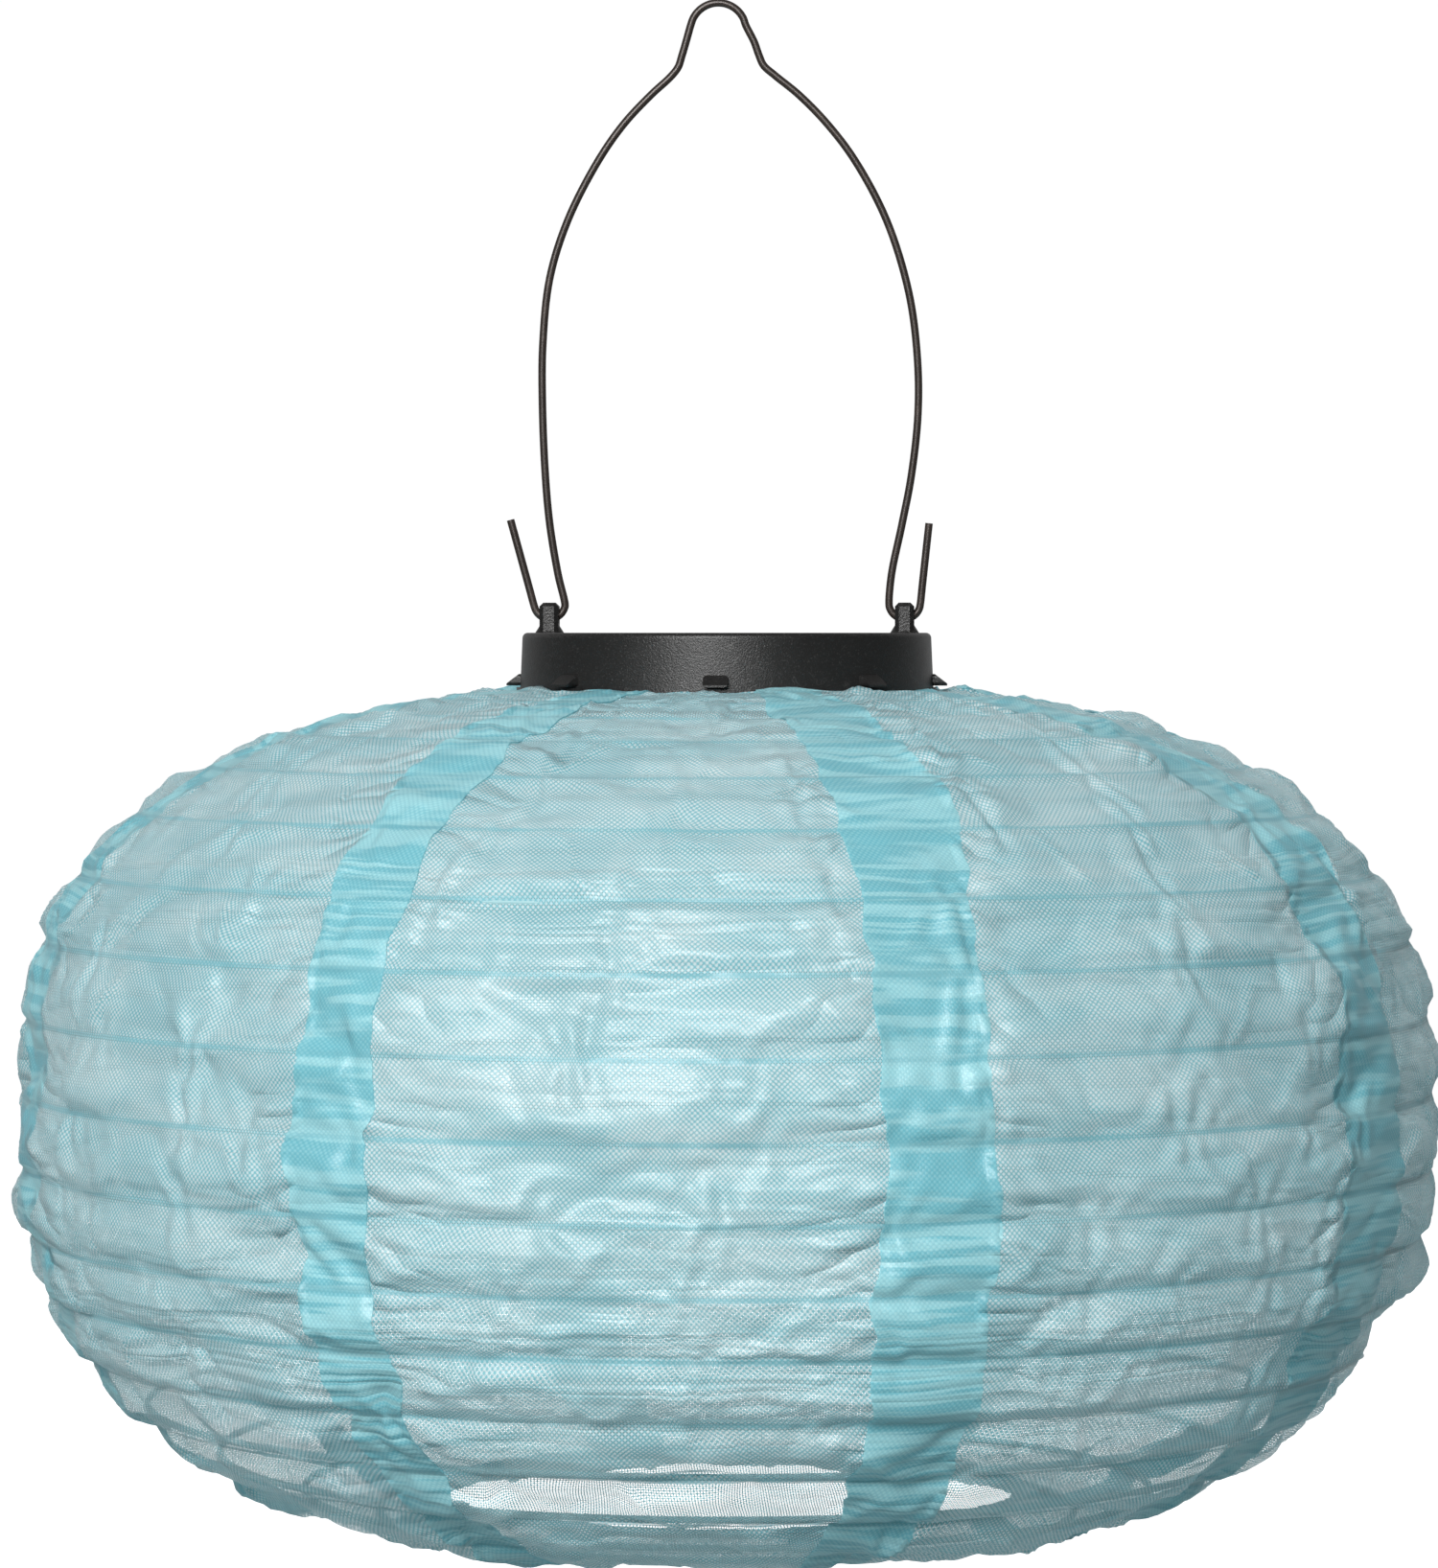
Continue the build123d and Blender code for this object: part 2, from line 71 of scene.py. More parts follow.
# ---- shader writing
class Signal:
    """One output of a shader node, which can be used in a Python expression."""

    def __init__(self, graph: "ShaderGraph", socket: bpy.types.NodeSocket) -> None:
        """Keep the socket and the graph that it belongs to."""
        self.graph = graph
        self.socket = socket

    def sibling(self, name: Key) -> "Signal":
        """Another output of the same node."""
        return Signal(self.graph, self.socket.node.outputs[name])

    def _math(self, operation: str, *values: "Value") -> "Signal":
        """Add a Math node that works on the given values."""
        return self.graph.node("ShaderNodeMath", {"operation": operation}, dict(enumerate(values)))

    def __add__(self, other: "Value") -> "Signal":
        """This value plus the other."""
        return self._math("ADD", self, other)

    def __sub__(self, other: "Value") -> "Signal":
        """This value less the other."""
        return self._math("SUBTRACT", self, other)

    def __mul__(self, other: "Value") -> "Signal":
        """This value times the other."""
        return self._math("MULTIPLY", self, other)

    def __truediv__(self, other: "Value") -> "Signal":
        """This value divided by the other."""
        return self._math("DIVIDE", self, other)

    def __abs__(self) -> "Signal":
        """This value without its sign."""
        return self._math("ABSOLUTE", self)

    def sine(self) -> "Signal":
        """Sine of this value in radians."""
        return self._math("SINE", self)

    def fraction(self) -> "Signal":
        """What is left above the whole number below."""
        return self._math("FRACT", self)

    def most(self, other: "Value") -> "Signal":
        """The larger of the two."""
        return self._math("MAXIMUM", self, other)

    def step(self, low: float, high: float) -> "Signal":
        """A smooth rise from 0 at `low` to 1 at `high`; a fall where `low` is the larger."""
        ends = {"From Min": low, "From Max": high}
        if low > high:
            ends = {"From Min": high, "From Max": low, "To Min": 1.0, "To Max": 0.0}
        return self.graph.smooth_range(self, ends)


Value = Union[Signal, float, Sequence[float]]


class ShaderGraph:
    """A new material or world and the few ways in which its nodes are added."""

    def __init__(self, name: str, world: bool = False) -> None:
        """Start an empty material, or world, of that name."""
        self.kind = "World" if world else "Material"
        self.owner = (bpy.data.worlds if world else bpy.data.materials).new(name)
        self.owner.use_nodes = True
        self.tree = self.owner.node_tree
        self.tree.nodes.clear()

    def node(
        self,
        kind: str,
        settings: dict[str, Any] | None = None,
        inputs: dict[Key, Value] | None = None,
        output: Key = 0,
    ) -> Signal:
        """Add one node.

        Args:
            kind: The node's type.
            settings: Its properties, set first.
            inputs: Values or links, by socket name or number.
            output: The output to hand back.

        Returns:
            That output as a signal.
        """
        made = self.tree.nodes.new(kind)
        for key, value in (settings or {}).items():
            setattr(made, key, value)
        for key, value in (inputs or {}).items():
            if isinstance(value, Signal):
                self.tree.links.new(value.socket, made.inputs[key])
            else:
                made.inputs[key].default_value = value
        return Signal(self, made.outputs[output])

    def smooth_range(self, value: Signal, ends: dict[str, float]) -> Signal:
        """A smooth rise or fall between the ends of a Map Range node."""
        return self.node("ShaderNodeMapRange", {"interpolation_type": "SMOOTHSTEP"}, {"Value": value, **ends})

    def place(self) -> Signal:
        """Position on the piece in metres, in the part's own frame at rest."""
        return self.node("ShaderNodeTexCoord", output="Object")

    def axes(self, vector: Signal) -> tuple[Signal, Signal, Signal]:
        """The three numbers of a vector."""
        x = self.node("ShaderNodeSeparateXYZ", inputs={0: vector})
        return x, x.sibling("Y"), x.sibling("Z")

    def vector(self, x: Value, y: Value, z: Value = 0.0) -> Signal:
        """A vector from three numbers."""
        return self.node("ShaderNodeCombineXYZ", inputs={0: x, 1: y, 2: z})

    def stretched(self, vector: Signal, scale: Sequence[float]) -> Signal:
        """A vector times a scale for each axis."""
        return self.node("ShaderNodeVectorMath", {"operation": "MULTIPLY"}, {0: vector, 1: tuple(scale)})

    def noise(self, vector: Signal, scale: float, detail: float = 2.0, roughness: float = 0.5) -> Signal:
        """Smooth noise from 0 to 1."""
        inputs = {"Vector": vector, "Scale": scale, "Detail": detail, "Roughness": roughness}
        return self.node("ShaderNodeTexNoise", inputs=inputs)

    def mix(self, first: Value, second: Value, share: Value) -> Signal:
        """A colour from the first at share 0 to the second at share 1."""
        return self.node("ShaderNodeMix", {"data_type": "RGBA"}, {0: share, 6: first, 7: second}, output=2)

    def bump(self, height: Signal, distance: float, strength: float, normal: Signal | None = None) -> Signal:
        """A normal from a height, over an earlier normal if there is one."""
        links: dict[Key, Value] = {"Height": height, "Distance": distance, "Strength": strength}
        if normal is not None:
            links["Normal"] = normal
        return self.node("ShaderNodeBump", inputs=links)

    def surface(self, inputs: dict[Key, Value]) -> Signal:
        """A Principled shader."""
        return self.node("ShaderNodeBsdfPrincipled", inputs=inputs)

    def finish(self, colour: Value, rough: Value, more: dict[str, Value] | None = None) -> bpy.types.ID:
        """End the material with one Principled shader and hand it back."""
        return self.close(self.surface({"Base Color": colour, "Roughness": rough, **(more or {})}))

    def blend(self, first: Signal, second: Signal, share: Value) -> Signal:
        """Two shaders, from the first at share 0 to the second at share 1."""
        return self.node("ShaderNodeMixShader", inputs={0: share, 1: first, 2: second})

    def close(self, shader: Signal) -> bpy.types.ID:
        """Link the shader to the output and hand back the material or world."""
        end = self.tree.nodes.new(f"ShaderNodeOutput{self.kind}")
        self.tree.links.new(shader.socket, end.inputs["Surface"])
        return self.owner


# ---- finishes
@dataclass(frozen=True)
class WovenNylon:
    """Thin plain-woven nylon, see-through between its threads, glued to wire along the hoops. Its thread crowns are
    painted near-white as highlight, and bands on its laps are painted fold light and shade.
    """

    # Near-white colour of the thread crowns: a painted highlight; the shade noise also mixes towards it.
    pale_and_crown_highlight: Colour = (0.83, 0.89, 0.89, 1.0)
    deep: Colour = (0.19, 0.51, 0.58, 1.0)
    glued: Colour = (0.17, 0.52, 0.60, 1.0)
    # Lighter copy of the lap colour: painted highlight on the crowns and painted light on the bands of the laps.
    glued_lit: Colour = (0.50, 0.81, 0.84, 1.0)
    wired: Colour = (0.22, 0.55, 0.62, 1.0)
    pitch: float = 0.60 * MM
    open_edge: float = 0.36
    shut_edge: float = 0.66
    sparse_from: float = 12.5
    sparse_to: float = 16.7
    sparse_share: float = 0.28
    looseness: float = 0.16
    line_half: float = 0.9 * MM
    lap_edge: float = 0.15 * MM
    through: float = 0.45
    roughness: float = 0.34
    specular: float = 0.6
    sheen: Pair = (0.1, 0.4)
    crease_bump: Pair = (9.0 * MM, 0.32)
    pucker_bump: Pair = (10.0 * MM, 0.65)
    weave_bump: Pair = (0.12 * MM, 0.4)
    pucker_reach: float = 24 * MM

    def make(self) -> bpy.types.Material:
        """Build the cloth's material."""
        g = ShaderGraph("woven_nylon")
        across, along, _ = g.axes(g.node("ShaderNodeUVMap", {"uv_map": "cloth"}))
        bay, gap, _ = g.axes(g.node("ShaderNodeUVMap", {"uv_map": "bays"}))
        lapped, _, _ = g.axes(g.node("ShaderNodeUVMap", {"uv_map": "laps"}))
        place = g.vector(across, along, gap)
        warp_wave = (across * (math.pi / self.pitch)).sine()
        weft_wave = (along * (math.pi / self.pitch)).sine()
        loose = g.noise(g.stretched(place, (1, 1.6, 30)), 90, 2) - 0.5
        thin = bay.step(self.sparse_from, self.sparse_from + 1.2)
        thin = thin * bay.step(self.sparse_to, self.sparse_to - 1.0)
        sparse = loose * self.looseness - thin * self.sparse_share
        warp = (abs(warp_wave) + sparse).step(self.open_edge, self.shut_edge)
        weft = (abs(weft_wave) + sparse).step(self.open_edge, self.shut_edge)
        knuckle = (warp_wave * weft_wave).step(-0.75, 0.75)
        lap = lapped.step(-self.lap_edge, self.lap_edge)
        glue = g.noise(g.stretched(place, (1, 4.0, 60)), 34, 4, 0.65)
        from_hoop = abs((bay + 0.5).fraction() - 0.5) * gap
        line = (from_hoop / (glue * 0.9 + 0.55)).step(self.line_half, self.line_half * 0.35)
        line = line * glue.step(0.25, 0.62)
        cover = warp.most(weft).most(line * 0.9).most(lap * 0.96)
        shade = g.noise(g.stretched(place, (1, 2.2, 30)), 26, 4, 0.6).step(0.35, 0.75)
        # The over-under weave is real; its crowns lean to the pale colour as painted highlight, and the shade noise
        # makes patches lighter and darker.
        colour = g.mix(self.deep, self.pale_and_crown_highlight, knuckle * 0.74 + shade * 0.24)
        # Horizontal bands on the laps: painted light and shade that stand in for folds tilting to and from the
        # light.
        painted_fold_shade = g.noise(g.stretched(place, (0.16, 1.0, 30)), 190, 2, 0.5).step(0.42, 0.56)
        doubled = g.mix(self.glued, self.glued_lit, knuckle * 0.36 + painted_fold_shade * 0.50 + 0.06)
        colour = g.mix(colour, doubled, lap)
        colour = g.mix(colour, self.wired, line * 0.62)
        relief = knuckle * 0.5 + warp * 0.25 + weft * 0.25
        creases = abs(g.noise(g.stretched(place, (0.16, 1.0, 30)), 62, 2, 0.35) - 0.5)
        normal = g.bump(creases, *self.crease_bump)
        slant = g.vector(lapped * 0.45, along + lapped * 0.6, bay * 0.03)
        beside = lapped.step(-self.pucker_reach, -2 * MM) * lapped.step(3 * MM, 0.0)
        puckers = abs(g.noise(slant, 70, 1, 0.4) - 0.5) * beside
        normal = g.bump(puckers, *self.pucker_bump, normal)
        normal = g.bump(relief, *self.weave_bump, normal)
        looks = {"Base Color": colour, "Roughness": self.roughness, "Normal": normal}
        sheen = {"Sheen Weight": self.sheen[0], "Sheen Roughness": self.sheen[1]}
        front = g.surface({**looks, "Specular IOR Level": self.specular, **sheen})
        back = g.node("ShaderNodeBsdfTranslucent", inputs={"Color": colour, "Normal": normal})
        cloth = g.blend(front, back, self.through)
        return g.close(g.blend(g.node("ShaderNodeBsdfTransparent"), cloth, cover))


@dataclass(frozen=True)
class SatinPlastic:
    """Moulded plastic with a fine grain, faint scratches and a soft sheen."""

    name: str
    colour: Colour = (0.012, 0.0118, 0.0115, 1.0)
    worn: Colour = (0.07, 0.068, 0.066, 1.0)
    roughness: float = 0.40
    grain: float = 2600.0
    specular: float = 0.42

    def make(self) -> bpy.types.Material:
        """Build the plastic's material."""
        g = ShaderGraph(self.name)
        place = g.place()
        speck = g.noise(place, self.grain, 2)
        cloud = g.noise(place, 60, 4, 0.6)
        waves = {"Vector": place, "Scale": 45.0, "Distortion": 28.0, "Detail": 3.0, "Detail Scale": 2.2}
        bands = {"wave_type": "BANDS", "bands_direction": "DIAGONAL"}
        scratch = g.node("ShaderNodeTexWave", bands, waves, output="Fac")
        mark = scratch.step(0.988, 1.0) * cloud.step(0.5, 0.66)
        colour = g.mix(self.colour, self.worn, mark * 0.9 + speck.step(0.58, 0.72) * 0.45)
        rough = cloud * 0.14 + speck * 0.08 + (self.roughness - 0.11)
        normal = g.bump(speck, 0.12 * MM, 0.8)
        return g.finish(colour, rough, {"Normal": normal, "Specular IOR Level": self.specular})


@dataclass(frozen=True)
class LacqueredWire:
    """Steel wire under a thin brown-black lacquer, rubbed through in places."""

    name: str
    colour: Colour = (0.030, 0.024, 0.021, 1.0)
    rubbed: Colour = (0.13, 0.10, 0.085, 1.0)
    roughness: float = 0.34
    metal: float = 0.35

    def make(self) -> bpy.types.Material:
        """Build the wire's material."""
        g = ShaderGraph(self.name)
        place = g.place()
        drawn = g.noise(g.stretched(place, (1, 1, 0.25)), 900, 3)
        wear = g.noise(place, 140, 4, 0.65).step(0.52, 0.78)
        colour = g.mix(self.colour, self.rubbed, wear * 0.34 + drawn * 0.16)
        rough = drawn * 0.16 + (self.roughness - 0.06)
        normal = g.bump(drawn, 0.03 * MM, 0.5)
        return g.finish(colour, rough, {"Metallic": self.metal, "Normal": normal})


@dataclass(frozen=True)
class BrightMetal:
    """Plated or drawn metal with fine marks."""

    name: str
    colour: Colour = (0.62, 0.62, 0.60, 1.0)
    dull: Colour = (0.38, 0.37, 0.35, 1.0)
    roughness: float = 0.30

    def make(self) -> bpy.types.Material:
        """Build the metal's material."""
        g = ShaderGraph(self.name)
        place = g.place()
        fine = g.noise(place, 1500, 3)
        cloud = g.noise(place, 220, 3)
        colour = g.mix(self.colour, self.dull, cloud.step(0.4, 0.75))
        rough = fine * 0.2 + (self.roughness - 0.1)
        return g.finish(colour, rough, {"Metallic": 1.0, "Normal": g.bump(fine, 0.02 * MM, 0.5)})


@dataclass(frozen=True)
class SolarCells:
    """Dark blue silicon with silver fingers and bus bars, in a two by two array."""

    silicon: Colour = (0.008, 0.014, 0.045, 1.0)
    crystal: Colour = (0.016, 0.030, 0.085, 1.0)
    silver: Colour = (0.55, 0.56, 0.58, 1.0)
    finger_pitch: float = 2.0 * MM
    bar_pitch: float = 14.0 * MM
    cell_pitch: float = 28.0 * MM
    gap_half: float = 0.45 * MM
    gap_colour: Colour = (0.02, 0.02, 0.02, 1.0)

    def make(self) -> bpy.types.Material:
        """Build the cells' material."""
        g = ShaderGraph("solar_cells")
        place = g.place()
        x, y, _ = g.axes(place)
        grains = g.node("ShaderNodeTexVoronoi", inputs={"Vector": place, "Scale": 320.0}, output="Color")
        grain, _, _ = g.axes(grains)

        def lines(value: Signal, pitch: float, half: float, shift: float) -> Signal:
            """Thin lines across one axis."""
            return (abs((value / pitch + shift).fraction() - 0.5) * pitch).step(half * 1.25, half * 0.75)

        gaps = lines(x, self.cell_pitch, self.gap_half, 0.5).most(lines(y, self.cell_pitch, self.gap_half, 0.5))
        fingers = lines(y, self.finger_pitch, 0.07 * MM, 0.0)
        bars = lines(x, self.bar_pitch, 0.6 * MM, 0.0)
        colour = g.mix(self.silicon, self.crystal, grain)
        colour = g.mix(colour, self.silver, fingers.most(bars) * 0.85)
        colour = g.mix(colour, self.gap_colour, gaps)
        rough = fingers.most(bars) * 0.15 + 0.22
        return g.finish(colour, rough, {"Coat Weight": 0.4, "Coat Roughness": 0.08})


@dataclass(frozen=True)
class ClearPlastic:
    """Clear or frosted plastic."""

    name: str
    colour: Colour = (0.9, 0.93, 0.95, 1.0)
    alpha: float = 0.14
    roughness: float = 0.08
    haze: float = 0.05

    def make(self) -> bpy.types.Material:
        """Build the clear plastic's material."""
        g = ShaderGraph(self.name)
        place = g.place()
        smear = g.noise(place, 90, 4, 0.6)
        dust = g.noise(place, 1900, 2).step(0.68, 0.8)
        alpha = smear * self.haze + dust * 0.1 + self.alpha
        rough = smear * 0.12 + self.roughness
        return g.finish(self.colour, rough, {"Alpha": alpha})


@dataclass(frozen=True)
class CircuitBoard:
    """Green lacquered board with tracks and tinned pads."""

    lacquer: Colour = (0.012, 0.10, 0.035, 1.0)
    track: Colour = (0.03, 0.17, 0.06, 1.0)
    pad: Colour = (0.6, 0.58, 0.52, 1.0)

    def make(self) -> bpy.types.Material:
        """Build the board's material."""
        g = ShaderGraph("circuit_board")
        place = g.place()
        kind = "ShaderNodeTexVoronoi"
        cells = g.node(kind, {"feature": "DISTANCE_TO_EDGE"}, {"Vector": place, "Scale": 260.0}, "Distance")
        spots = g.node(kind, inputs={"Vector": place, "Scale": 240.0}, output="Distance")
        colour = g.mix(self.lacquer, self.track, cells.step(0.12, 0.06))
        pads = spots.step(0.20, 0.15)
        colour = g.mix(colour, self.pad, pads)
        return g.finish(colour, 0.3, {"Metallic": pads * 0.8})


@dataclass(frozen=True)
class CellJacket:
    """A round cell: a plain two-tone sleeve between bright ends, lying along X."""

    sleeve: Colour = (0.05, 0.20, 0.12, 1.0)
    band: Colour = (0.52, 0.50, 0.44, 1.0)
    steel: Colour = (0.6, 0.6, 0.58, 1.0)
    sleeve_end: float = 20.6 * MM
    band_start: float = 12.0 * MM

    def make(self) -> bpy.types.Material:
        """Build the cell's material."""
        g = ShaderGraph("battery_cell")
        place = g.place()
        x, _, _ = g.axes(place)
        scuff = g.noise(place, 400, 3)
        ends = abs(x + 0.5 * MM).step(self.sleeve_end, self.sleeve_end + 0.2 * MM)
        colour = g.mix(self.sleeve, self.band, x.step(self.band_start, self.band_start + 0.1 * MM))
        colour = g.mix(colour, self.steel, ends)
        return g.finish(colour, scuff * 0.15 + 0.25, {"Metallic": ends})


@dataclass(frozen=True)
class LeadPair:
    """Two insulated wires, one dark and one red, parted at a plane."""

    name: str
    parting: float
    red: Colour = (0.35, 0.012, 0.010, 1.0)
    dark: Colour = (0.012, 0.012, 0.012, 1.0)

    def make(self) -> bpy.types.Material:
        """Build the leads' material."""
        g = ShaderGraph(self.name)
        place = g.place()
        x, _, _ = g.axes(place)
        scuff = g.noise(place, 700, 3)
        colour = g.mix(self.dark, self.red, x.step(self.parting - 0.05 * MM, self.parting + 0.05 * MM))
        return g.finish(colour, scuff * 0.2 + 0.35)


# ---- shared geometry
@dataclass(frozen=True)
class Hoop:
    """Where one wire hoop lies, in millimetres."""

    node: str
    radius: float
    height: float
    wire: float

    @classmethod
    def read(cls, node: str) -> "Hoop":
        """Measure a hoop's CAD node."""
        low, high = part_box(node)
        wire = (high.z - low.z) / MM
        return cls(node, high.x / MM - wire / 2, (high.z + low.z) / 2 / MM, wire)


class Waves:
    """A smooth, repeatable unevenness round the shade and down it."""

    def __init__(self, seed: int, around: tuple[int, int], down: float, count: int = 24) -> None:
        """Choose the waves.

        Args:
            seed: Start of the random draws.
            around: Fewest and most waves in one turn.
            down: Largest turn of phase over one bay.
            count: How many waves are added up.
        """
        draw = np.random.default_rng(seed)
        self.turns = draw.integers(around[0], around[1] + 1, count)
        self.down = draw.uniform(-down, down, count)
        self.phase = draw.uniform(0, 2 * math.pi, count)
        self.size = draw.uniform(0.5, 1.0, count)
        self.size /= math.sqrt((self.size**2).sum() / 2)

    def at(self, angle: Array, bay: Array) -> Array:
        """The unevenness, about 1 in size, at angles in radians and bay numbers."""
        total = np.zeros(np.broadcast(angle, bay).shape)
        for turns, down, phase, size in zip(self.turns, self.down, self.phase, self.size):
            total += size * np.cos(turns * angle + down * bay + phase)
        return total


def add_object(name: str, data: bpy.types.ID) -> bpy.types.Object:
    """Put a new object in the scene."""
    made = bpy.data.objects.new(name, data)
    bpy.context.scene.collection.objects.link(made)
    return made


def mesh_piece(name: str, points: Array, faces: Array, material: bpy.types.Material) -> bpy.types.Object:
    """Make a smooth mesh object.

    Args:
        name: The piece's name.
        points: Rows of x, y, z in metres.
        faces: Rows of corner numbers.
        material: Its finish.

    Returns:
        The new object, in the scene.
    """
    mesh = bpy.data.meshes.new(name)
    mesh.from_pydata(points.tolist(), [], faces.tolist())
    mesh.materials.append(material)
    mesh.polygons.foreach_set("use_smooth", [True] * len(mesh.polygons))
    mesh.update()
    return add_object(name, mesh)


# ---- the shade
@dataclass
class ClothRelaxer:
    """The whole shade's cloth as one tube of points, held at every hoop and relaxed between them."""

    hoops: list[Hoop]
    panels: int = 8
    first_lap_deg: float = 18.5
    columns: int = 720
    steps: int = 12
    rounds: int = 120
    glue_gap: float = 0.35
    seed: int = 41
    spare_down: tuple[float, ...] = (
        0.006, 0.009, 0.013, 0.017, 0.021, 0.027, 0.034, 0.042, 0.052,
        0.060, 0.070, 0.076, 0.070, 0.062, 0.054, 0.044, 0.028, 0.014,
    )
    spare_round: float = 0.025
    pull_down: float = 0.0009
    push_out: float = 0.0006
    spread: float = 1.0
    pinch: float = 0.16
    tuck: float = 0.65
    crisp: float = 0.72
    lobes: tuple[tuple[float, float, float, float], ...] = (
        (10.6, -88.0, 20.0, 3.6), (6.5, -92.0, 24.0, 2.4), (9.4, -86.0, 14.0, -2.0), (12.5, -80.0, 22.0, 2.6),
        (8.5, 96.0, 22.0, 3.0), (11.5, 90.0, 20.0, 3.4), (12.5, 84.0, 24.0, -2.4), (4.5, 96.0, 26.0, 2.2),
        (2.5, 84.0, 26.0, 1.8), (14.5, 100.0, 30.0, 2.4), (13.5, -8.0, 14.0, 3.0), (15.5, 30.0, 18.0, 3.2),
    )
    stretch: float = 0.85
    shear: float = 0.30
    stiffness: float = 0.10
    bend_free: float = 0.975
    spare_ends: Pair = (0.002, 0.11)
    carried: float = 0.82
    eased: float = 0.55
    bow_share: float = 0.375
    points: Array = field(init=False)

    def __post_init__(self) -> None:
        """Work out the rows' places on the tight shade."""
        rim = np.array([(hoop.radius, hoop.height) for hoop in self.hoops])
        run = np.gradient(rim, axis=0)
        run /= np.linalg.norm(run, axis=1)[:, None]
        outward = np.stack([-run[:, 1], run[:, 0]], axis=1)
        rim = rim + outward * np.array([hoop.wire / 2 + self.glue_gap for hoop in self.hoops])[:, None]
        bays = len(self.hoops) - 1
        self.bay = np.arange(bays * self.steps + 1) / self.steps
        whole = np.minimum(self.bay.astype(int), bays - 1)
        part = (self.bay - whole)[:, None]
        self.profile = rim[whole] * (1 - part) + rim[whole + 1] * part
        facing = outward[whole] * (1 - part) + outward[whole + 1] * part
        self.facing = facing / np.linalg.norm(facing, axis=1)[:, None]
        self.gap = np.linalg.norm(np.diff(rim, axis=0), axis=1)
        self.row_gap = self.gap[whole]
        self.held = np.arange(len(self.bay)) % self.steps == 0
        self.angle = np.arange(self.columns) * 2 * math.pi / self.columns
        self.pitch = 2 * math.pi / self.panels
        self.spare = np.array(self.spare_down)[whole]

    def _place(self, radius: Array, height: Array, turn: Array) -> Array:
        """Points from radii, heights and angles, where angle 0 is the front and grows towards the right."""
        return np.stack([radius * np.sin(turn), -radius * np.cos(turn), height * np.ones_like(turn)], axis=-1)

    def _tight(self, shift: Array) -> Array:
        """The cloth pulled tight, with its columns turned by `shift` radians."""
        turn = self.angle[None, :] + shift
        return self._place(self.profile[:, :1], self.profile[:, 1:], turn)

    def _near_lap(self) -> Array:
        """How much the cloth puckers: most beside the laps, less in the middle of a panel."""
        from_lap = self.angle - math.radians(self.first_lap_deg)
        away = np.abs((from_lap + self.pitch / 2) % self.pitch - self.pitch / 2)[None, :]
        mm = away * np.maximum(self.profile[:, :1], 1.0)
        return 0.55 + 1.5 * np.exp(-(((mm - 15.0) / 8.0) ** 2))

    def relax(self) -> None:
        """Let the spare cloth fold and sag between the hoops."""
        bay, angle = self.bay[:, None], self.angle[None, :]
        uneven = Waves(self.seed, (3, 22), 1.1).at(angle, np.floor(bay) * 1.7)
        lean = Waves(self.seed + 1, (2, 16), 2.2).at(angle, np.floor(bay) * 2.3)
        gather = Waves(self.seed + 2, (8, 46), 2.5).at(angle, np.round(bay) * 3.1)
        ripple = Waves(self.seed + 3, (30, 150), 9.0, 40).at(angle, bay)
        radius = np.maximum(self.profile[:, :1], 1.0)
        pinch = Waves(self.seed + 4, (45, 130), 2.9, 60).at(angle, np.round(bay) * 2.7)
        shift = (gather * self.spread + pinch * self.pinch * self._near_lap()) / radius
        shift = shift * np.minimum(1, radius / 140)
        start = self._tight(shift)
        spare = np.clip(self.spare[:, None] * (1 + 0.75 * uneven), *self.spare_ends)
        part = bay - np.floor(bay)
        placed = self._placed(bay, angle)
        bow = np.sqrt(spare * self.bow_share) * self.row_gap[:, None]
        side = np.tanh(1.6 * (lean + 0.75))
        crest = Waves(self.seed + 5, (3, 19), 2.6).at(angle, np.floor(bay) * 1.9)
        crest = 0.5 + 0.36 * np.tanh(1.2 * crest)
        fold = np.minimum(part / crest, (1 - part) / (1 - crest))
        second = Waves(self.seed + 6, (5, 30), 2.6).at(angle, np.floor(bay) * 2.9)
        second = 0.5 + 0.40 * np.tanh(1.3 * second)
        small = np.maximum(0, 1 - np.abs(part - second) / 0.22) * np.sin(math.pi * part)
        tuck = Waves(self.seed + 7, (6, 34), 2.6).at(angle, np.floor(bay) * 3.7)
        lift = bow * side * (0.35 * np.sin(math.pi * part) + 0.65 * fold)
        lift = lift + self.tuck * np.clip(tuck, -1, 1.6) * small
        lift += 0.12 * ripple * np.sin(math.pi * part)
        lift = lift * (1 - 0.6 * np.minimum(1, np.abs(placed))) + placed * np.sin(math.pi * part)
        spare = spare + (placed / self.row_gap[:, None]) ** 2 / self.bow_share * 0.9
        turn = angle + shift
        out = self._place(self.facing[:, :1], self.facing[:, 1:], turn)
        x = start + out * lift[..., None]
        tight = self._tight(np.zeros_like(turn))
        across = np.linalg.norm(np.roll(tight, -1, axis=1) - tight, axis=-1) * (1 + self.spare_round)
        down = np.linalg.norm(np.diff(self.profile, axis=0), axis=1)[:, None]
        down = down * (1 + 0.5 * (spare[1:] + spare[:-1]))
        cross = np.sqrt((0.5 * (across[1:] + across[:-1])) ** 2 + down**2)
        loose = (~self.held).astype(float)[:, None, None]
        move = np.zeros_like(x)
        push = out * self.push_out * loose
        push[..., 2] -= self.pull_down * loose[..., 0]
        ties = (
            (across, 0, 1, self.stretch, False),
            (down, 1, 0, self.stretch, False),
            (cross, 1, 1, self.shear, False),
            (cross, 1, -1, self.shear, False),
            (across * 2 * self.bend_free, 0, 2, self.stiffness, True),
            ((down[1:] + down[:-1]) * self.bend_free, 2, 0, self.stiffness, True),
        )
        for _ in range(self.rounds):
            pull = np.zeros_like(x)
            for tie in ties:
                self._tie(x, pull, *tie)
            move = (move * self.carried + pull * self.eased + push) * loose
            x = x + move
        for _ in range(2):
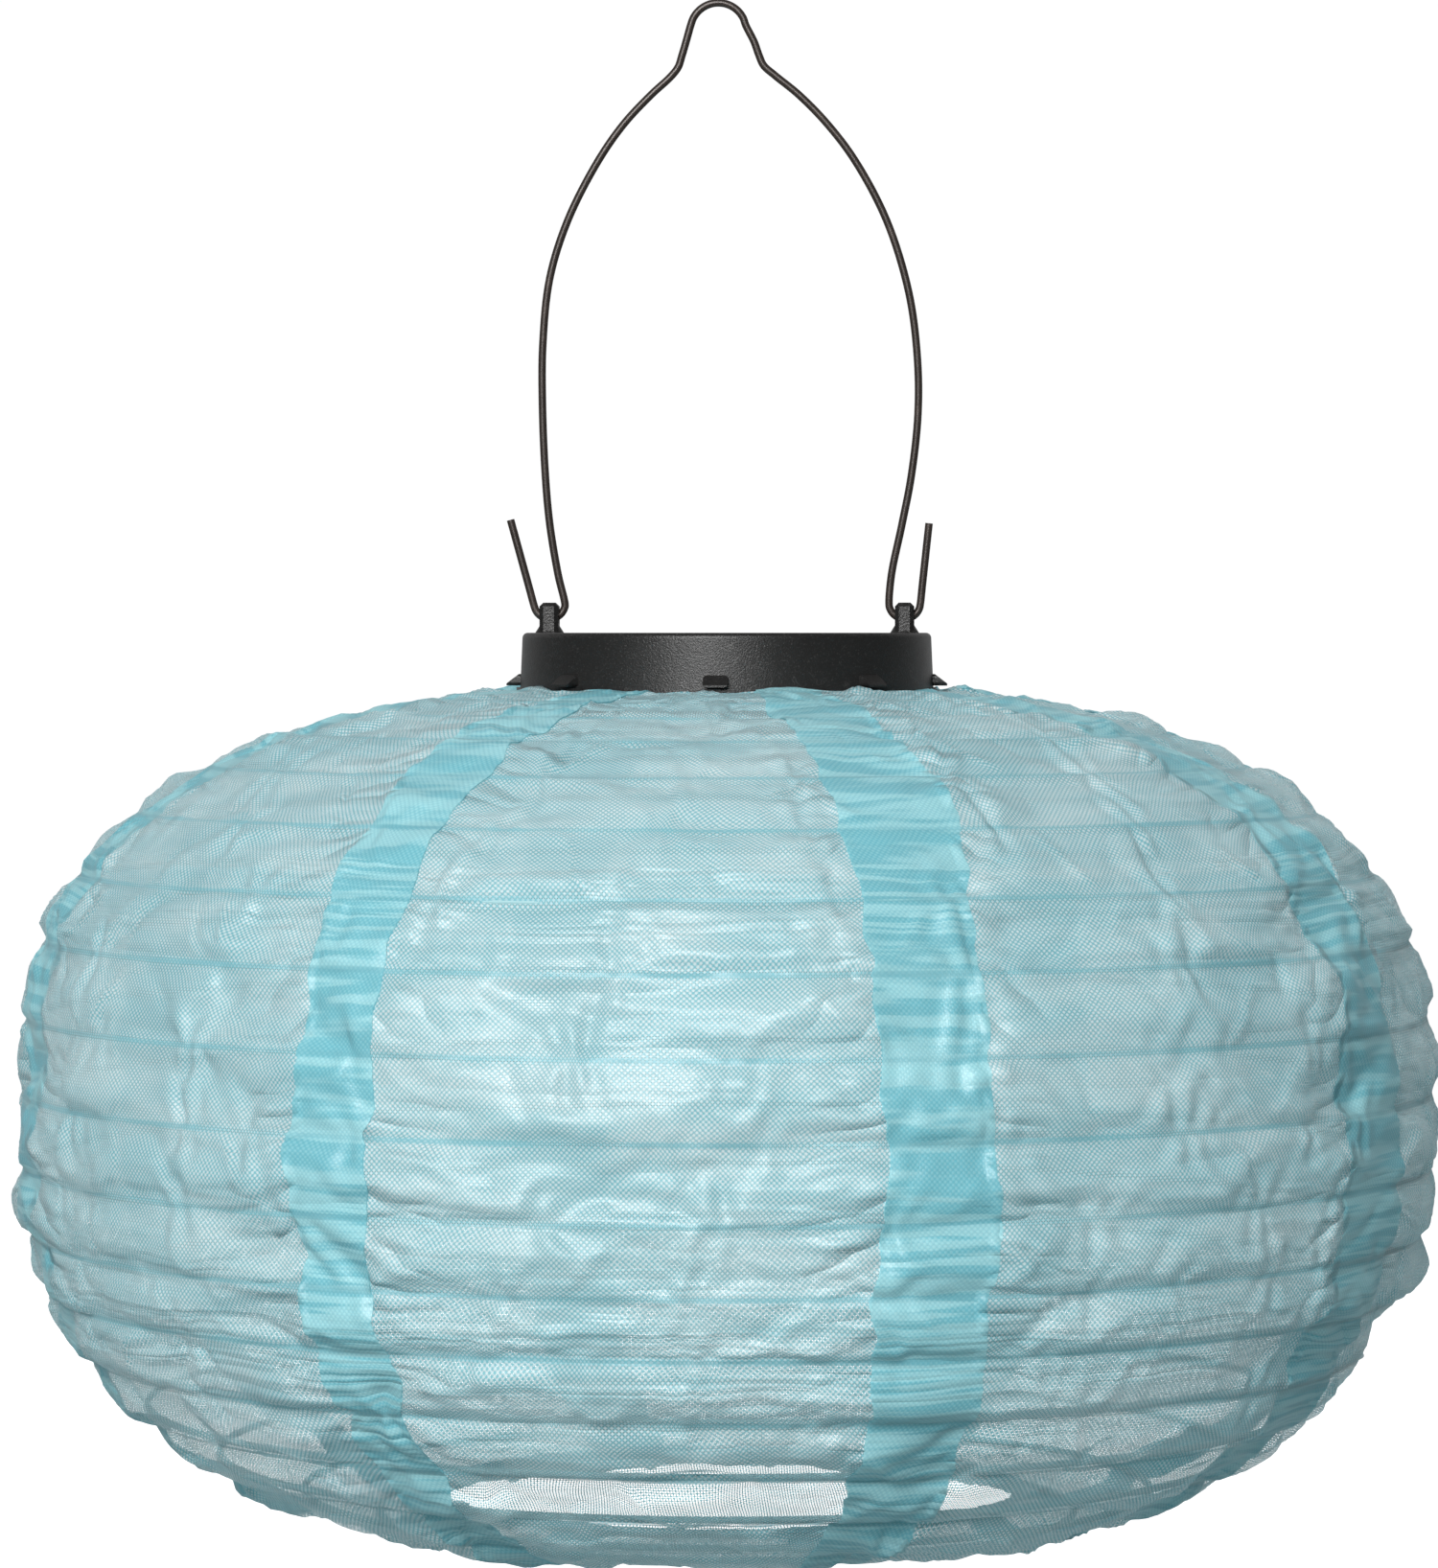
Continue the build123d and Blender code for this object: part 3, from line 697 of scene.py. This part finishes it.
            soft = 0.25 * (np.roll(x, 1, 1) + np.roll(x, -1, 1))
            soft[1:-1] += 0.25 * (x[2:] + x[:-2])
            soft[[0, -1]] *= 2
            x = x + (soft - x) * 0.5 * loose
        creases = self._creases(bay, angle) * np.minimum(1, self.row_gap[:, None] / 12)
        self.points = x + out * creases[..., None]

    def _placed(self, bay: Array, angle: Array) -> Array:
        """The larger bulges and hollows that are put where they belong, in millimetres."""
        total = np.zeros(np.broadcast(bay, angle).shape)
        for row, degrees, width, size in self.lobes:
            away = (angle - math.radians(degrees) + math.pi) % (2 * math.pi) - math.pi
            off = (np.floor(bay) + 0.5 - row) / 0.8
            total += size * np.exp(-((away / math.radians(width)) ** 2)) * np.exp(-(off**4))
        return total

    def _creases(self, bay: Array, angle: Array) -> Array:
        """Sharp creases that run round the shade within each bay, in millimetres."""
        part, row = bay - np.floor(bay), np.floor(bay)
        total = np.zeros(np.broadcast(bay, angle).shape)
        for number, (most, wide) in enumerate(((12, 0.30), (22, 0.20), (34, 0.14))):
            centre = Waves(self.seed + 10 + number, (3, most), 2.8).at(angle, row * 2.1)
            centre = 0.5 + 0.42 * np.tanh(1.4 * centre)
            size = Waves(self.seed + 20 + number, (4, most), 2.8).at(angle, row * 3.3)
            total += np.clip(size, -1.2, 1.8) * np.maximum(0, 1 - np.abs(part - centre) / wide)
        return self.crisp * total * np.minimum(1, np.minimum(part, 1 - part) / 0.12)

    @staticmethod
    def _tie(
        x: Array, pull: Array, rest: Array, rows: int, columns: int, strength: float, apart_only: bool
    ) -> None:
        """Add the pull of every tie between points that are `rows` and `columns` apart.

        Args:
            x: The points.
            pull: Where the pulls are added up.
            rest: The ties' own lengths.
            rows: Rows between a tie's ends.
            columns: Columns between them.
            strength: Share of the error that is corrected.
            apart_only: Whether a tie only pushes, as a stiff cloth does against a fold.
        """
        near = x[: x.shape[0] - rows]
        far = np.roll(x[rows:], -columns, axis=1)
        span = far - near
        length = np.linalg.norm(span, axis=-1)
        error = (length - rest) / length
        if apart_only:
            error = np.minimum(error, 0)
        half = span * (0.5 * strength * error)[..., None]
        pull[: x.shape[0] - rows] += half
        pull[rows:] -= np.roll(half, columns, axis=1)

    def normals(self) -> Array:
        """The outward direction at every point."""
        round_ = np.roll(self.points, -1, axis=1) - np.roll(self.points, 1, axis=1)
        down = np.gradient(self.points, axis=0)
        out = np.cross(down, round_)
        return out / np.linalg.norm(out, axis=-1)[..., None]


class Layer(Enum):
    """Which of the two layers a panel is where it laps its neighbours, as a shift in millimetres."""

    OUTER = 0.17
    INNER = -0.17


@dataclass
class ClothShade:
    """Eight woven panels that lap at their edges, glued to the hoops."""

    finish: WovenNylon = field(default_factory=WovenNylon)
    columns: int = 116
    lap_top: float = 17.0
    lap_high: float = 22.0
    lap_mid: float = 25.5
    lap_low: float = 21.0
    lap_end: float = 15.5
    lap_places: tuple[float, ...] = (0, 0.12, 0.3, 0.62, 0.85, 1.0)
    hem_depth: float = 2.6
    hem_swell: float = 0.5
    lip: float = 1.3
    collapse: float = 0.1214
    trims: tuple[tuple[int, int, float], ...] = ((7, 0, -6.0), (1, 1, 2.5), (3, 0, -2.5), (5, 1, -2.0))
    cut_size: tuple[float, float] = (0.163, 0.361)
    cut_area: float = 0.0455

    def build(self, cloth: ClothRelaxer) -> list[bpy.types.Object]:
        """Make every panel.

        Args:
            cloth: The relaxed cloth of the whole shade.

        Returns:
            The panels.
        """
        material = self.finish.make()
        normals = cloth.normals()
        return [self._panel(number, cloth, normals, material) for number in range(1, cloth.panels + 1)]

    def _half_span(self, cloth: ClothRelaxer, seam: int, side: int) -> Array:
        """Half a panel's angle at every row, from its middle to its edge at one lap."""
        bays = cloth.bay[-1]
        share = cloth.bay / bays
        widths = [self.lap_top, self.lap_high, self.lap_mid, self.lap_mid, self.lap_low, self.lap_end]
        width = np.interp(share, self.lap_places, widths)
        draw = np.random.default_rng(900 + 10 * seam + side)
        places = np.linspace(0, bays, 40)
        waver = np.interp(cloth.bay, places, draw.normal(0, 0.75, 40))
        fine = np.interp(cloth.bay, np.linspace(0, bays, 110), draw.normal(0, 0.3, 110))
        trim = sum(extra for place, edge, extra in self.trims if (place, edge) == (seam, side))
        trim = trim * np.sin(math.pi * share) ** 0.5
        return math.pi / cloth.panels + (width / 2 + waver + fine + trim) / cloth.profile[:, 0]

    def _panel(
        self, number: int, cloth: ClothRelaxer, normals: Array, material: bpy.types.Material
    ) -> bpy.types.Object:
        """Make one panel.

        Args:
            number: The panel's number, from 1.
            cloth: The relaxed cloth.
            normals: Its outward directions.
            material: The woven finish.

        Returns:
            The panel, riding on the lamp head.
        """
        layer = Layer.OUTER if number % 2 else Layer.INNER
        middle = math.radians(cloth.first_lap_deg) + (number - 0.5) * cloth.pitch
        left = self._half_span(cloth, number - 1, 1)
        right = self._half_span(cloth, number % cloth.panels, 0)
        share = np.linspace(-1, 1, self.columns)[None, :]
        turn = np.where(share < 0, share * left[:, None], share * right[:, None])
        before = cloth.pitch - self._half_span(cloth, number - 1, 0)[:, None]
        after = cloth.pitch - self._half_span(cloth, number % cloth.panels, 1)[:, None]
        lapped = np.where(turn < 0, -turn - before, turn - after) * cloth.profile[:, :1]
        column = (middle + turn) / (2 * math.pi) * cloth.columns
        whole = np.floor(column).astype(int)
        part = (column - whole)[..., None]
        rows = np.arange(len(cloth.bay))[:, None]
        first, second = whole % cloth.columns, (whole + 1) % cloth.columns
        points = cloth.points[rows, first] * (1 - part) + cloth.points[rows, second] * part
        facing = normals[rows, first] * (1 - part) + normals[rows, second] * part
        points = points + facing * layer.value
        across = turn * cloth.profile[:, :1]
        run = np.cumsum(np.linalg.norm(np.diff(cloth.profile, axis=0), axis=1))
        along = np.concatenate([[0.0], run])[:, None] * np.ones_like(turn)
        bay = cloth.bay[:, None] * np.ones_like(turn)
        grids = self._hem((points, across, along, bay), cloth, False)
        grids = self._hem(tuple(grid[::-1] for grid in grids), cloth, True)
        points, across, along, bay = (grid[::-1] for grid in grids)
        hem_rows = (len(bay) - len(lapped)) // 2
        ends = np.repeat(lapped[:1], hem_rows, 0), np.repeat(lapped[-1:], hem_rows, 0)
        lapped = np.concatenate([ends[0], lapped, ends[1]])
        high, wide = bay.shape
        corner = (np.arange(high - 1)[:, None] * wide + np.arange(wide - 1)[None, :]).ravel()
        faces = np.stack([corner, corner + wide, corner + wide + 1, corner + 1], axis=1)
        piece = mesh_piece(f"shade_panel_{number}", points.reshape(-1, 3) * MM, faces, material)
        gap = np.interp(bay, np.arange(len(cloth.gap)) + 0.5, cloth.gap)
        maps = {"cloth": (across * MM, along * MM), "bays": (bay, gap * MM), "laps": (lapped * MM, gap * MM)}
        for name, (first_map, second_map) in maps.items():
            self._coordinates(piece, name, first_map, second_map)
        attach(piece, "lamp_head")
        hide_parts(f"cloth_panel_{number}")
        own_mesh(piece)
        return piece

    def _hem(self, grids: tuple[Array, ...], cloth: ClothRelaxer, at_end: bool) -> tuple[Array, ...]:
        """Fold the cloth's first row round its end ring and back inside.

        Args:
            grids: The panel's points, then its coordinates round and down the shade and its bay
                numbers, all with the end ring first.
            cloth: The relaxed cloth.
            at_end: Whether this is the bottom ring.

        Returns:
            The same four with the hem's rows in front.
        """
        points, across, along, bay = grids
        hoop = cloth.hoops[-1 if at_end else 0]
        radial = points[0] * (1, 1, 0)
        radial /= np.linalg.norm(radial, axis=1)[:, None]
        centre = radial * hoop.radius + np.array([0, 0, hoop.height])
        arm = points[0] - centre
        reach = np.linalg.norm(arm, axis=1)[:, None]
        arm = arm / reach
        inward = points[1] - points[0]
        inward -= arm * (inward * arm).sum(1)[:, None]
        inward /= np.linalg.norm(inward, axis=1)[:, None]
        rows, travel = [], []
        around = np.arctan2(points[0][:, 0], -points[0][:, 1])
        fullness = Waves(71 + at_end, (9, 60), 0.0).at(around, np.zeros_like(around))
        swell = 1 + self.hem_swell * np.clip(fullness, 0, 2)[:, None]
        for turn in np.linspace(0.5, math.pi, 6):
            grown = 1 + (swell - 1) * math.sin(turn)
            rows.append(centre + reach * (arm * math.cos(turn) - inward * math.sin(turn) * grown))
            if not at_end:
                rows[-1][:, 2] += self._lip(around, cloth.pitch) * math.sin(min(turn * 1.2, math.pi))
            travel.append(turn * float(reach.mean()))
        back = travel[-1]
        for depth in (self.hem_depth * 0.5, self.hem_depth):
            rows.append(rows[5] + inward * depth)
            travel.append(back + depth)
        rows, travel = rows[::-1], np.array(travel[::-1])[:, None]
        sign = 1 if at_end else -1
        extra = along[0][None, :] + sign * travel
        return (
            np.concatenate([np.array(rows), points]),
            np.concatenate([np.repeat(across[:1], len(rows), 0), across]),
            np.concatenate([extra, along]),
            np.concatenate([bay[:1] + sign * 0.9 * np.minimum(1, travel / 6.0), bay]),
        )

    def _lip(self, around: Array, pitch: float) -> Array:
        """How far the top edge stands up against the cap, in millimetres; 0 under the snap noses."""
        away = np.abs((around + pitch / 2) % pitch - pitch / 2)
        free = np.clip((np.degrees(away) - 4.5) / 3.0, 0, 1)
        wave = Waves(77, (3, 15), 0.0).at(around, np.zeros_like(around))
        return free * self.lip * np.clip(0.55 + 0.45 * wave, 0.05, 1.3)

    @staticmethod
    def _coordinates(piece: bpy.types.Object, name: str, first: Array, second: Array) -> None:
        """Keep two numbers for every point as a coordinate map."""
        layer = piece.data.uv_layers.new(name=name)
        corners = np.zeros(len(piece.data.loops), int)
        piece.data.loops.foreach_get("vertex_index", corners)
        pairs = np.stack([first.ravel(), second.ravel()], axis=1)[corners]
        layer.uv.foreach_set("vector", pairs.astype(np.float32).ravel())


@dataclass
class HoopSet:
    """The wire hoops inside the cloth."""

    rib_count: int = 17
    finish: LacqueredWire = field(
        default_factory=lambda: LacqueredWire(
            "coated_hoop_wire", (0.26, 0.45, 0.48, 1.0), (0.40, 0.55, 0.56, 1.0), 0.45, 0.0
        )
    )

    def names(self) -> list[str]:
        """The hoops' CAD nodes, from the top ring down."""
        return ["top_ring", *[f"rib_{number:02d}" for number in range(1, self.rib_count + 1)], "bottom_ring"]

    def measured(self) -> list[Hoop]:
        """Where every hoop lies."""
        return [Hoop.read(name) for name in self.names()]

    def dress(self) -> None:
        """Give the hoops their finish."""
        material = self.finish.make()
        for name in self.names():
            dress_node(name, material)


def dress_node(name: str, material: bpy.types.Material) -> None:
    """Put a finish on a CAD node."""
    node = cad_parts[name]
    if not node.material_slots:
        node.data.materials.append(material)
    for slot in node.material_slots:
        slot.material = material


# ---- the bail
@dataclass
class Bail:
    """One bent wire from free end to free end, a little uneven as such wires are."""

    wire: float = 1.9
    lug_x: float = 43.1
    cap_z: float = -151.4
    hinge_z: float = -147.4
    eye_radius: float = 3.8
    eye_sag: float = 0.6
    crook_radius: float = 6.8
    crook_shift: float = -2.1
    crook_ends: tuple[float, float] = (167.0, 12.0)
    leg_lean_deg: float = 8.0
    tips: tuple[Pair, Pair] = ((52.6, 27.4), (49.0, 26.5))
    bows: tuple[tuple[Pair, ...], ...] = (
        (
            (41.0, 14.0), (43.0, 26.0), (44.1, 38.0), (44.8, 55.0), (44.7, 70.0), (43.0, 86.0), (38.6, 100.0),
            (31.3, 114.2), (25.0, 123.2), (18.4, 130.2), (13.6, 134.6), (11.8, 136.9), (10.9, 139.6),
            (9.8, 143.3),
        ),
        (
            (39.9, 14.0), (42.4, 26.0), (44.7, 38.0), (46.3, 53.0), (46.1, 67.0), (44.0, 82.5), (38.7, 99.6),
            (31.1, 114.0), (24.4, 122.9), (17.5, 130.0), (11.6, 134.8), (8.9, 137.2), (7.8, 139.6), (6.6, 142.9),
        ),
    )
    finish: LacqueredWire = field(default_factory=lambda: LacqueredWire("lacquered_bail_wire"))

    def _side(self, side: int) -> list[Pair]:
        """The points of one half, free end first, in the plane of the bail."""
        sign = -1 if side == 0 else 1
        eye_z = self.hinge_z - self.eye_sag + self.eye_radius
        tip_x, tip_rise = self.tips[side]
        tip = (tip_x, self.cap_z + tip_rise)
        free = math.atan2(tip[0] - self.lug_x - self.eye_radius, tip[1] - eye_z)
        main = math.radians(self.leg_lean_deg)
        points = [tip]
        start = (self.lug_x + self.eye_radius * math.cos(free), eye_z - self.eye_radius * math.sin(free))
        for share in (0.25, 0.5, 0.75):
            points.append((tip[0] + (start[0] - tip[0]) * share, tip[1] + (start[1] - tip[1]) * share))
        for turn in np.linspace(-free, -math.pi + main, 13):
            reach = self.eye_radius * math.cos(turn)
            points.append((self.lug_x + reach, eye_z + self.eye_radius * math.sin(turn)))
        points += [(width, self.cap_z + rise) for width, rise in self.bows[side]]
        return [(sign * x, z) for x, z in points]

    def _line(self) -> Array:
        """The whole centre line, evenly smoothed, in millimetres."""
        crook_z = self.wire / 2 - self.crook_radius
        crown = [
            (self.crook_shift + self.crook_radius * math.cos(turn), crook_z + self.crook_radius * math.sin(turn))
            for turn in np.radians(np.linspace(*self.crook_ends, 11))
        ]
        corners = np.array(self._side(0) + crown + self._side(1)[::-1])
        padded = np.concatenate([[2 * corners[0] - corners[1]], corners, [2 * corners[-1] - corners[-2]]])
        line = []
        for points in zip(padded, padded[1:], padded[2:], padded[3:]):
            steps = [max(np.linalg.norm(b - a), 1e-6) ** 0.5 for a, b in zip(points, points[1:])]
            knots = np.cumsum([0, *steps])
            for t in np.linspace(knots[1], knots[2], 9)[:-1]:
                rank = list(points)
                for span in (1, 2):
                    rank = [self._between(knots, t, i, i + span, rank) for i in range(4 - span)]
                line.append(((knots[2] - t) * rank[0] + (t - knots[1]) * rank[1]) / (knots[2] - knots[1]))
        line.append(corners[-1])
        return np.array(line)

    @staticmethod
    def _between(knots: Array, t: float, low: int, high: int, rank: list[Array]) -> Array:
        """A point between two neighbours of a rank, at place t between two knots."""
        share = (knots[high] - t) * rank[low] + (t - knots[low]) * rank[low + 1]
        return share / (knots[high] - knots[low])

    def build(self) -> bpy.types.Object:
        """Make the bail as a round wire on its centre line."""
        line = self._line()
        curve = bpy.data.curves.new("bail", "CURVE")
        curve.dimensions = "3D"
        spline = curve.splines.new("POLY")
        spline.points.add(len(line) - 1)
        flat = np.zeros((len(line), 4), np.float32)
        flat[:, 0], flat[:, 2], flat[:, 3] = line[:, 0] * MM, line[:, 1] * MM, 1
        spline.points.foreach_set("co", flat.ravel())
        curve.bevel_depth = self.wire / 2 * MM
        curve.bevel_resolution = 5
        curve.use_fill_caps = True
        spline.use_smooth = True
        curve.materials.append(self.finish.make())
        piece = add_object("bail", curve)
        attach(piece, "bail")
        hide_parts("bail_wire")
        return piece


# ---- the lamp head
@dataclass
class LampHead:
    """The black cap, its base and what they hold."""

    plastic: SatinPlastic = field(default_factory=lambda: SatinPlastic("satin_black_plastic"))

    def dress(self) -> dict[str, str]:
        """Give every node of the head its finish.

        Returns:
            Each node's finish by name.
        """
        black = self.plastic.make()
        zinc = BrightMetal("zinc_plated_steel").make()
        nickel = BrightMetal("nickel_contact", (0.66, 0.64, 0.58, 1.0), (0.45, 0.43, 0.38, 1.0), 0.25).make()
        base = SatinPlastic("moulded_black_base", (0.014, 0.014, 0.0135, 1.0), roughness=0.5, grain=1800.0)
        door = SatinPlastic("moulded_black_door", (0.017, 0.017, 0.0165, 1.0), roughness=0.55, grain=1500.0)
        finishes = {
            "cap_shell": black,
            "lamp_base": base.make(),
            "battery_door": door.make(),
            "case_screws": zinc,
            "door_screw": zinc,
            "solar_cells": SolarCells().make(),
            "panel_cover": ClearPlastic("clear_panel_cover").make(),
            "battery": CellJacket().make(),
            "contact_plate": nickel,
            "contact_spring": nickel,
            "circuit_board": CircuitBoard().make(),
            "lamp_led": ClearPlastic("led_resin", (0.95, 0.86, 0.55, 1.0), 0.85, 0.12).make(),
            "light_lens": ClearPlastic("frosted_lens", (0.88, 0.91, 0.93, 1.0), 0.62, 0.3, 0.12).make(),
            "switch_body": SatinPlastic("switch_housing", (0.02, 0.02, 0.02, 1.0), roughness=0.45).make(),
            "switch_slider": SatinPlastic("switch_knob", (0.025, 0.025, 0.025, 1.0), roughness=0.5).make(),
            "panel_leads": LeadPair("panel_lead_wires", 5.0 * MM).make(),
            "battery_leads": LeadPair("battery_lead_wires", 0.0).make(),
        }
        for name, material in finishes.items():
            dress_node(name, material)
        return {name: material.name for name, material in finishes.items()}


# ---- the studio
@dataclass
class Studio:
    """The pale floor, the soft light and the camera."""

    floor_z: float = -3.2
    camera_turn_deg: float = 3.0
    camera_distance: float = 1.45
    lens: float = 137.2
    level: float = -0.1514
    aim_right: float = -0.0019
    aim_down: float = 0.0367
    floor_radius: float = 30.0
    sky_facing: Pair = (0.25, 0.95)
    sky_glow: Pair = (0.16, 2.6)
    glossy_loss: float = 0.8
    seen_glow: float = 1.02
    lit_point: Point = (0, 0, -0.25)
    lights: tuple[tuple[str, Point, Pair, float], ...] = (
        ("key", (-0.42, -2.2, 0.78), (1.1, 1.1), 80.0),
        ("left", (-2.2, -0.2, 0.4), (1.0, 1.6), 4.0),
        ("right", (2.2, -0.6, 0.2), (0.8, 1.4), 4.0),
        ("top", (-0.2, 0.3, 2.0), (1.2, 1.2), 10.0),
        ("low", (-0.6, -1.7, -1.7), (1.4, 1.0), 13.0),
    )

    def build(self) -> None:
        """Set the whole studio up."""
        self._floor()
        self._sky()
        for light in self.lights:
            self._lamp(*light)
        self._camera()
        bpy.context.scene.view_settings.view_transform = "Standard"

    def _floor(self) -> None:
        """A wide pale disc far under the lantern."""
        turns = np.linspace(0, 2 * math.pi, 129)[:-1]
        rim = [(self.floor_radius * math.cos(a), self.floor_radius * math.sin(a), self.floor_z) for a in turns]
        g = ShaderGraph("pale_floor")
        mottle = g.noise(g.place(), 0.8, 3)
        colour = g.mix((0.86, 0.86, 0.86, 1.0), (0.90, 0.90, 0.90, 1.0), mottle)
        pale_and_crown_highlight = g.finish(colour, 0.8, {"Emission Color": (1, 1, 1, 1), "Emission Strength": 1.0})
        floor = mesh_piece("studio_floor", np.array(rim), np.arange(len(rim))[None, :], pale_and_crown_highlight)
        floor.visible_diffuse = floor.visible_glossy = floor.visible_transmission = False

    def _sky(self) -> None:
        """A white surround that lights from behind more than from the front."""
        g = ShaderGraph("studio", world=True)
        _, depth, _ = g.axes(g.node("ShaderNodeTexCoord", output="Generated"))
        ends = dict(zip(("From Min", "From Max", "To Min", "To Max"), (*self.sky_facing, *self.sky_glow)))
        camera_ray = g.node("ShaderNodeLightPath", output="Is Camera Ray")
        glossy_ray = camera_ray.sibling("Is Glossy Ray")
        dim = g.node("ShaderNodeMath", {"operation": "MULTIPLY_ADD"}, {0: glossy_ray, 1: -self.glossy_loss, 2: 1.0})
        lit = g.node("ShaderNodeBackground", inputs={"Strength": g.smooth_range(depth, ends) * dim})
        seen = g.node("ShaderNodeBackground", inputs={"Color": (1, 1, 1, 1), "Strength": self.seen_glow})
        bpy.context.scene.world = g.close(g.blend(lit, seen, camera_ray))

    def _lamp(self, name: str, place: Point, size: Pair, power: float) -> None:
        """A soft rectangular light that faces the lantern."""
        data = bpy.data.lights.new(name, "AREA")
        data.shape = "RECTANGLE"
        data.size, data.size_y = size
        data.energy = power
        lamp = add_object(name, data)
        lamp.location = place
        lamp.rotation_euler = (Vector(self.lit_point) - Vector(place)).to_track_quat("-Z", "Y").to_euler()
        lamp.visible_glossy = name == "key"

    def _camera(self) -> None:
        """A long lens, level with the top of the cap and a touch to the right."""
        data = bpy.data.cameras.new("camera")
        data.lens, data.sensor_width = self.lens, 36.0
        turn = math.radians(self.camera_turn_deg)
        right = Vector((math.cos(turn), math.sin(turn), 0))
        back = Vector((math.sin(turn), -math.cos(turn), 0))
        eye = back * self.camera_distance + Vector((0, 0, self.level))
        aim = right * self.aim_right + Vector((0, 0, self.level - self.aim_down))
        camera = add_object("camera", data)
        camera.location = eye
        camera.rotation_euler = (aim - eye).to_track_quat("-Z", "Y").to_euler()
        bpy.context.scene.camera = camera


def main() -> None:
    """Build the studio and the lantern, and report each piece."""
    logging.basicConfig(level=logging.INFO, format="%(name)s: %(message)s")
    Studio().build()
    hoops = HoopSet()
    hoops.dress()
    LOG.info("hoops dressed: %d", len(hoops.names()))
    cloth = ClothRelaxer(hoops.measured(), rounds=120)
    cloth.relax()
    for panel in ClothShade().build(cloth):
        LOG.info("%s: %d faces", panel.name, len(panel.data.polygons))
    bail = Bail().build()
    LOG.info("%s: one wire", bail.name)
    for node, finish in LampHead().dress().items():
        LOG.info("%s: %s", node, finish)
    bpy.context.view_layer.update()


if __name__ == "__main__":
    main()
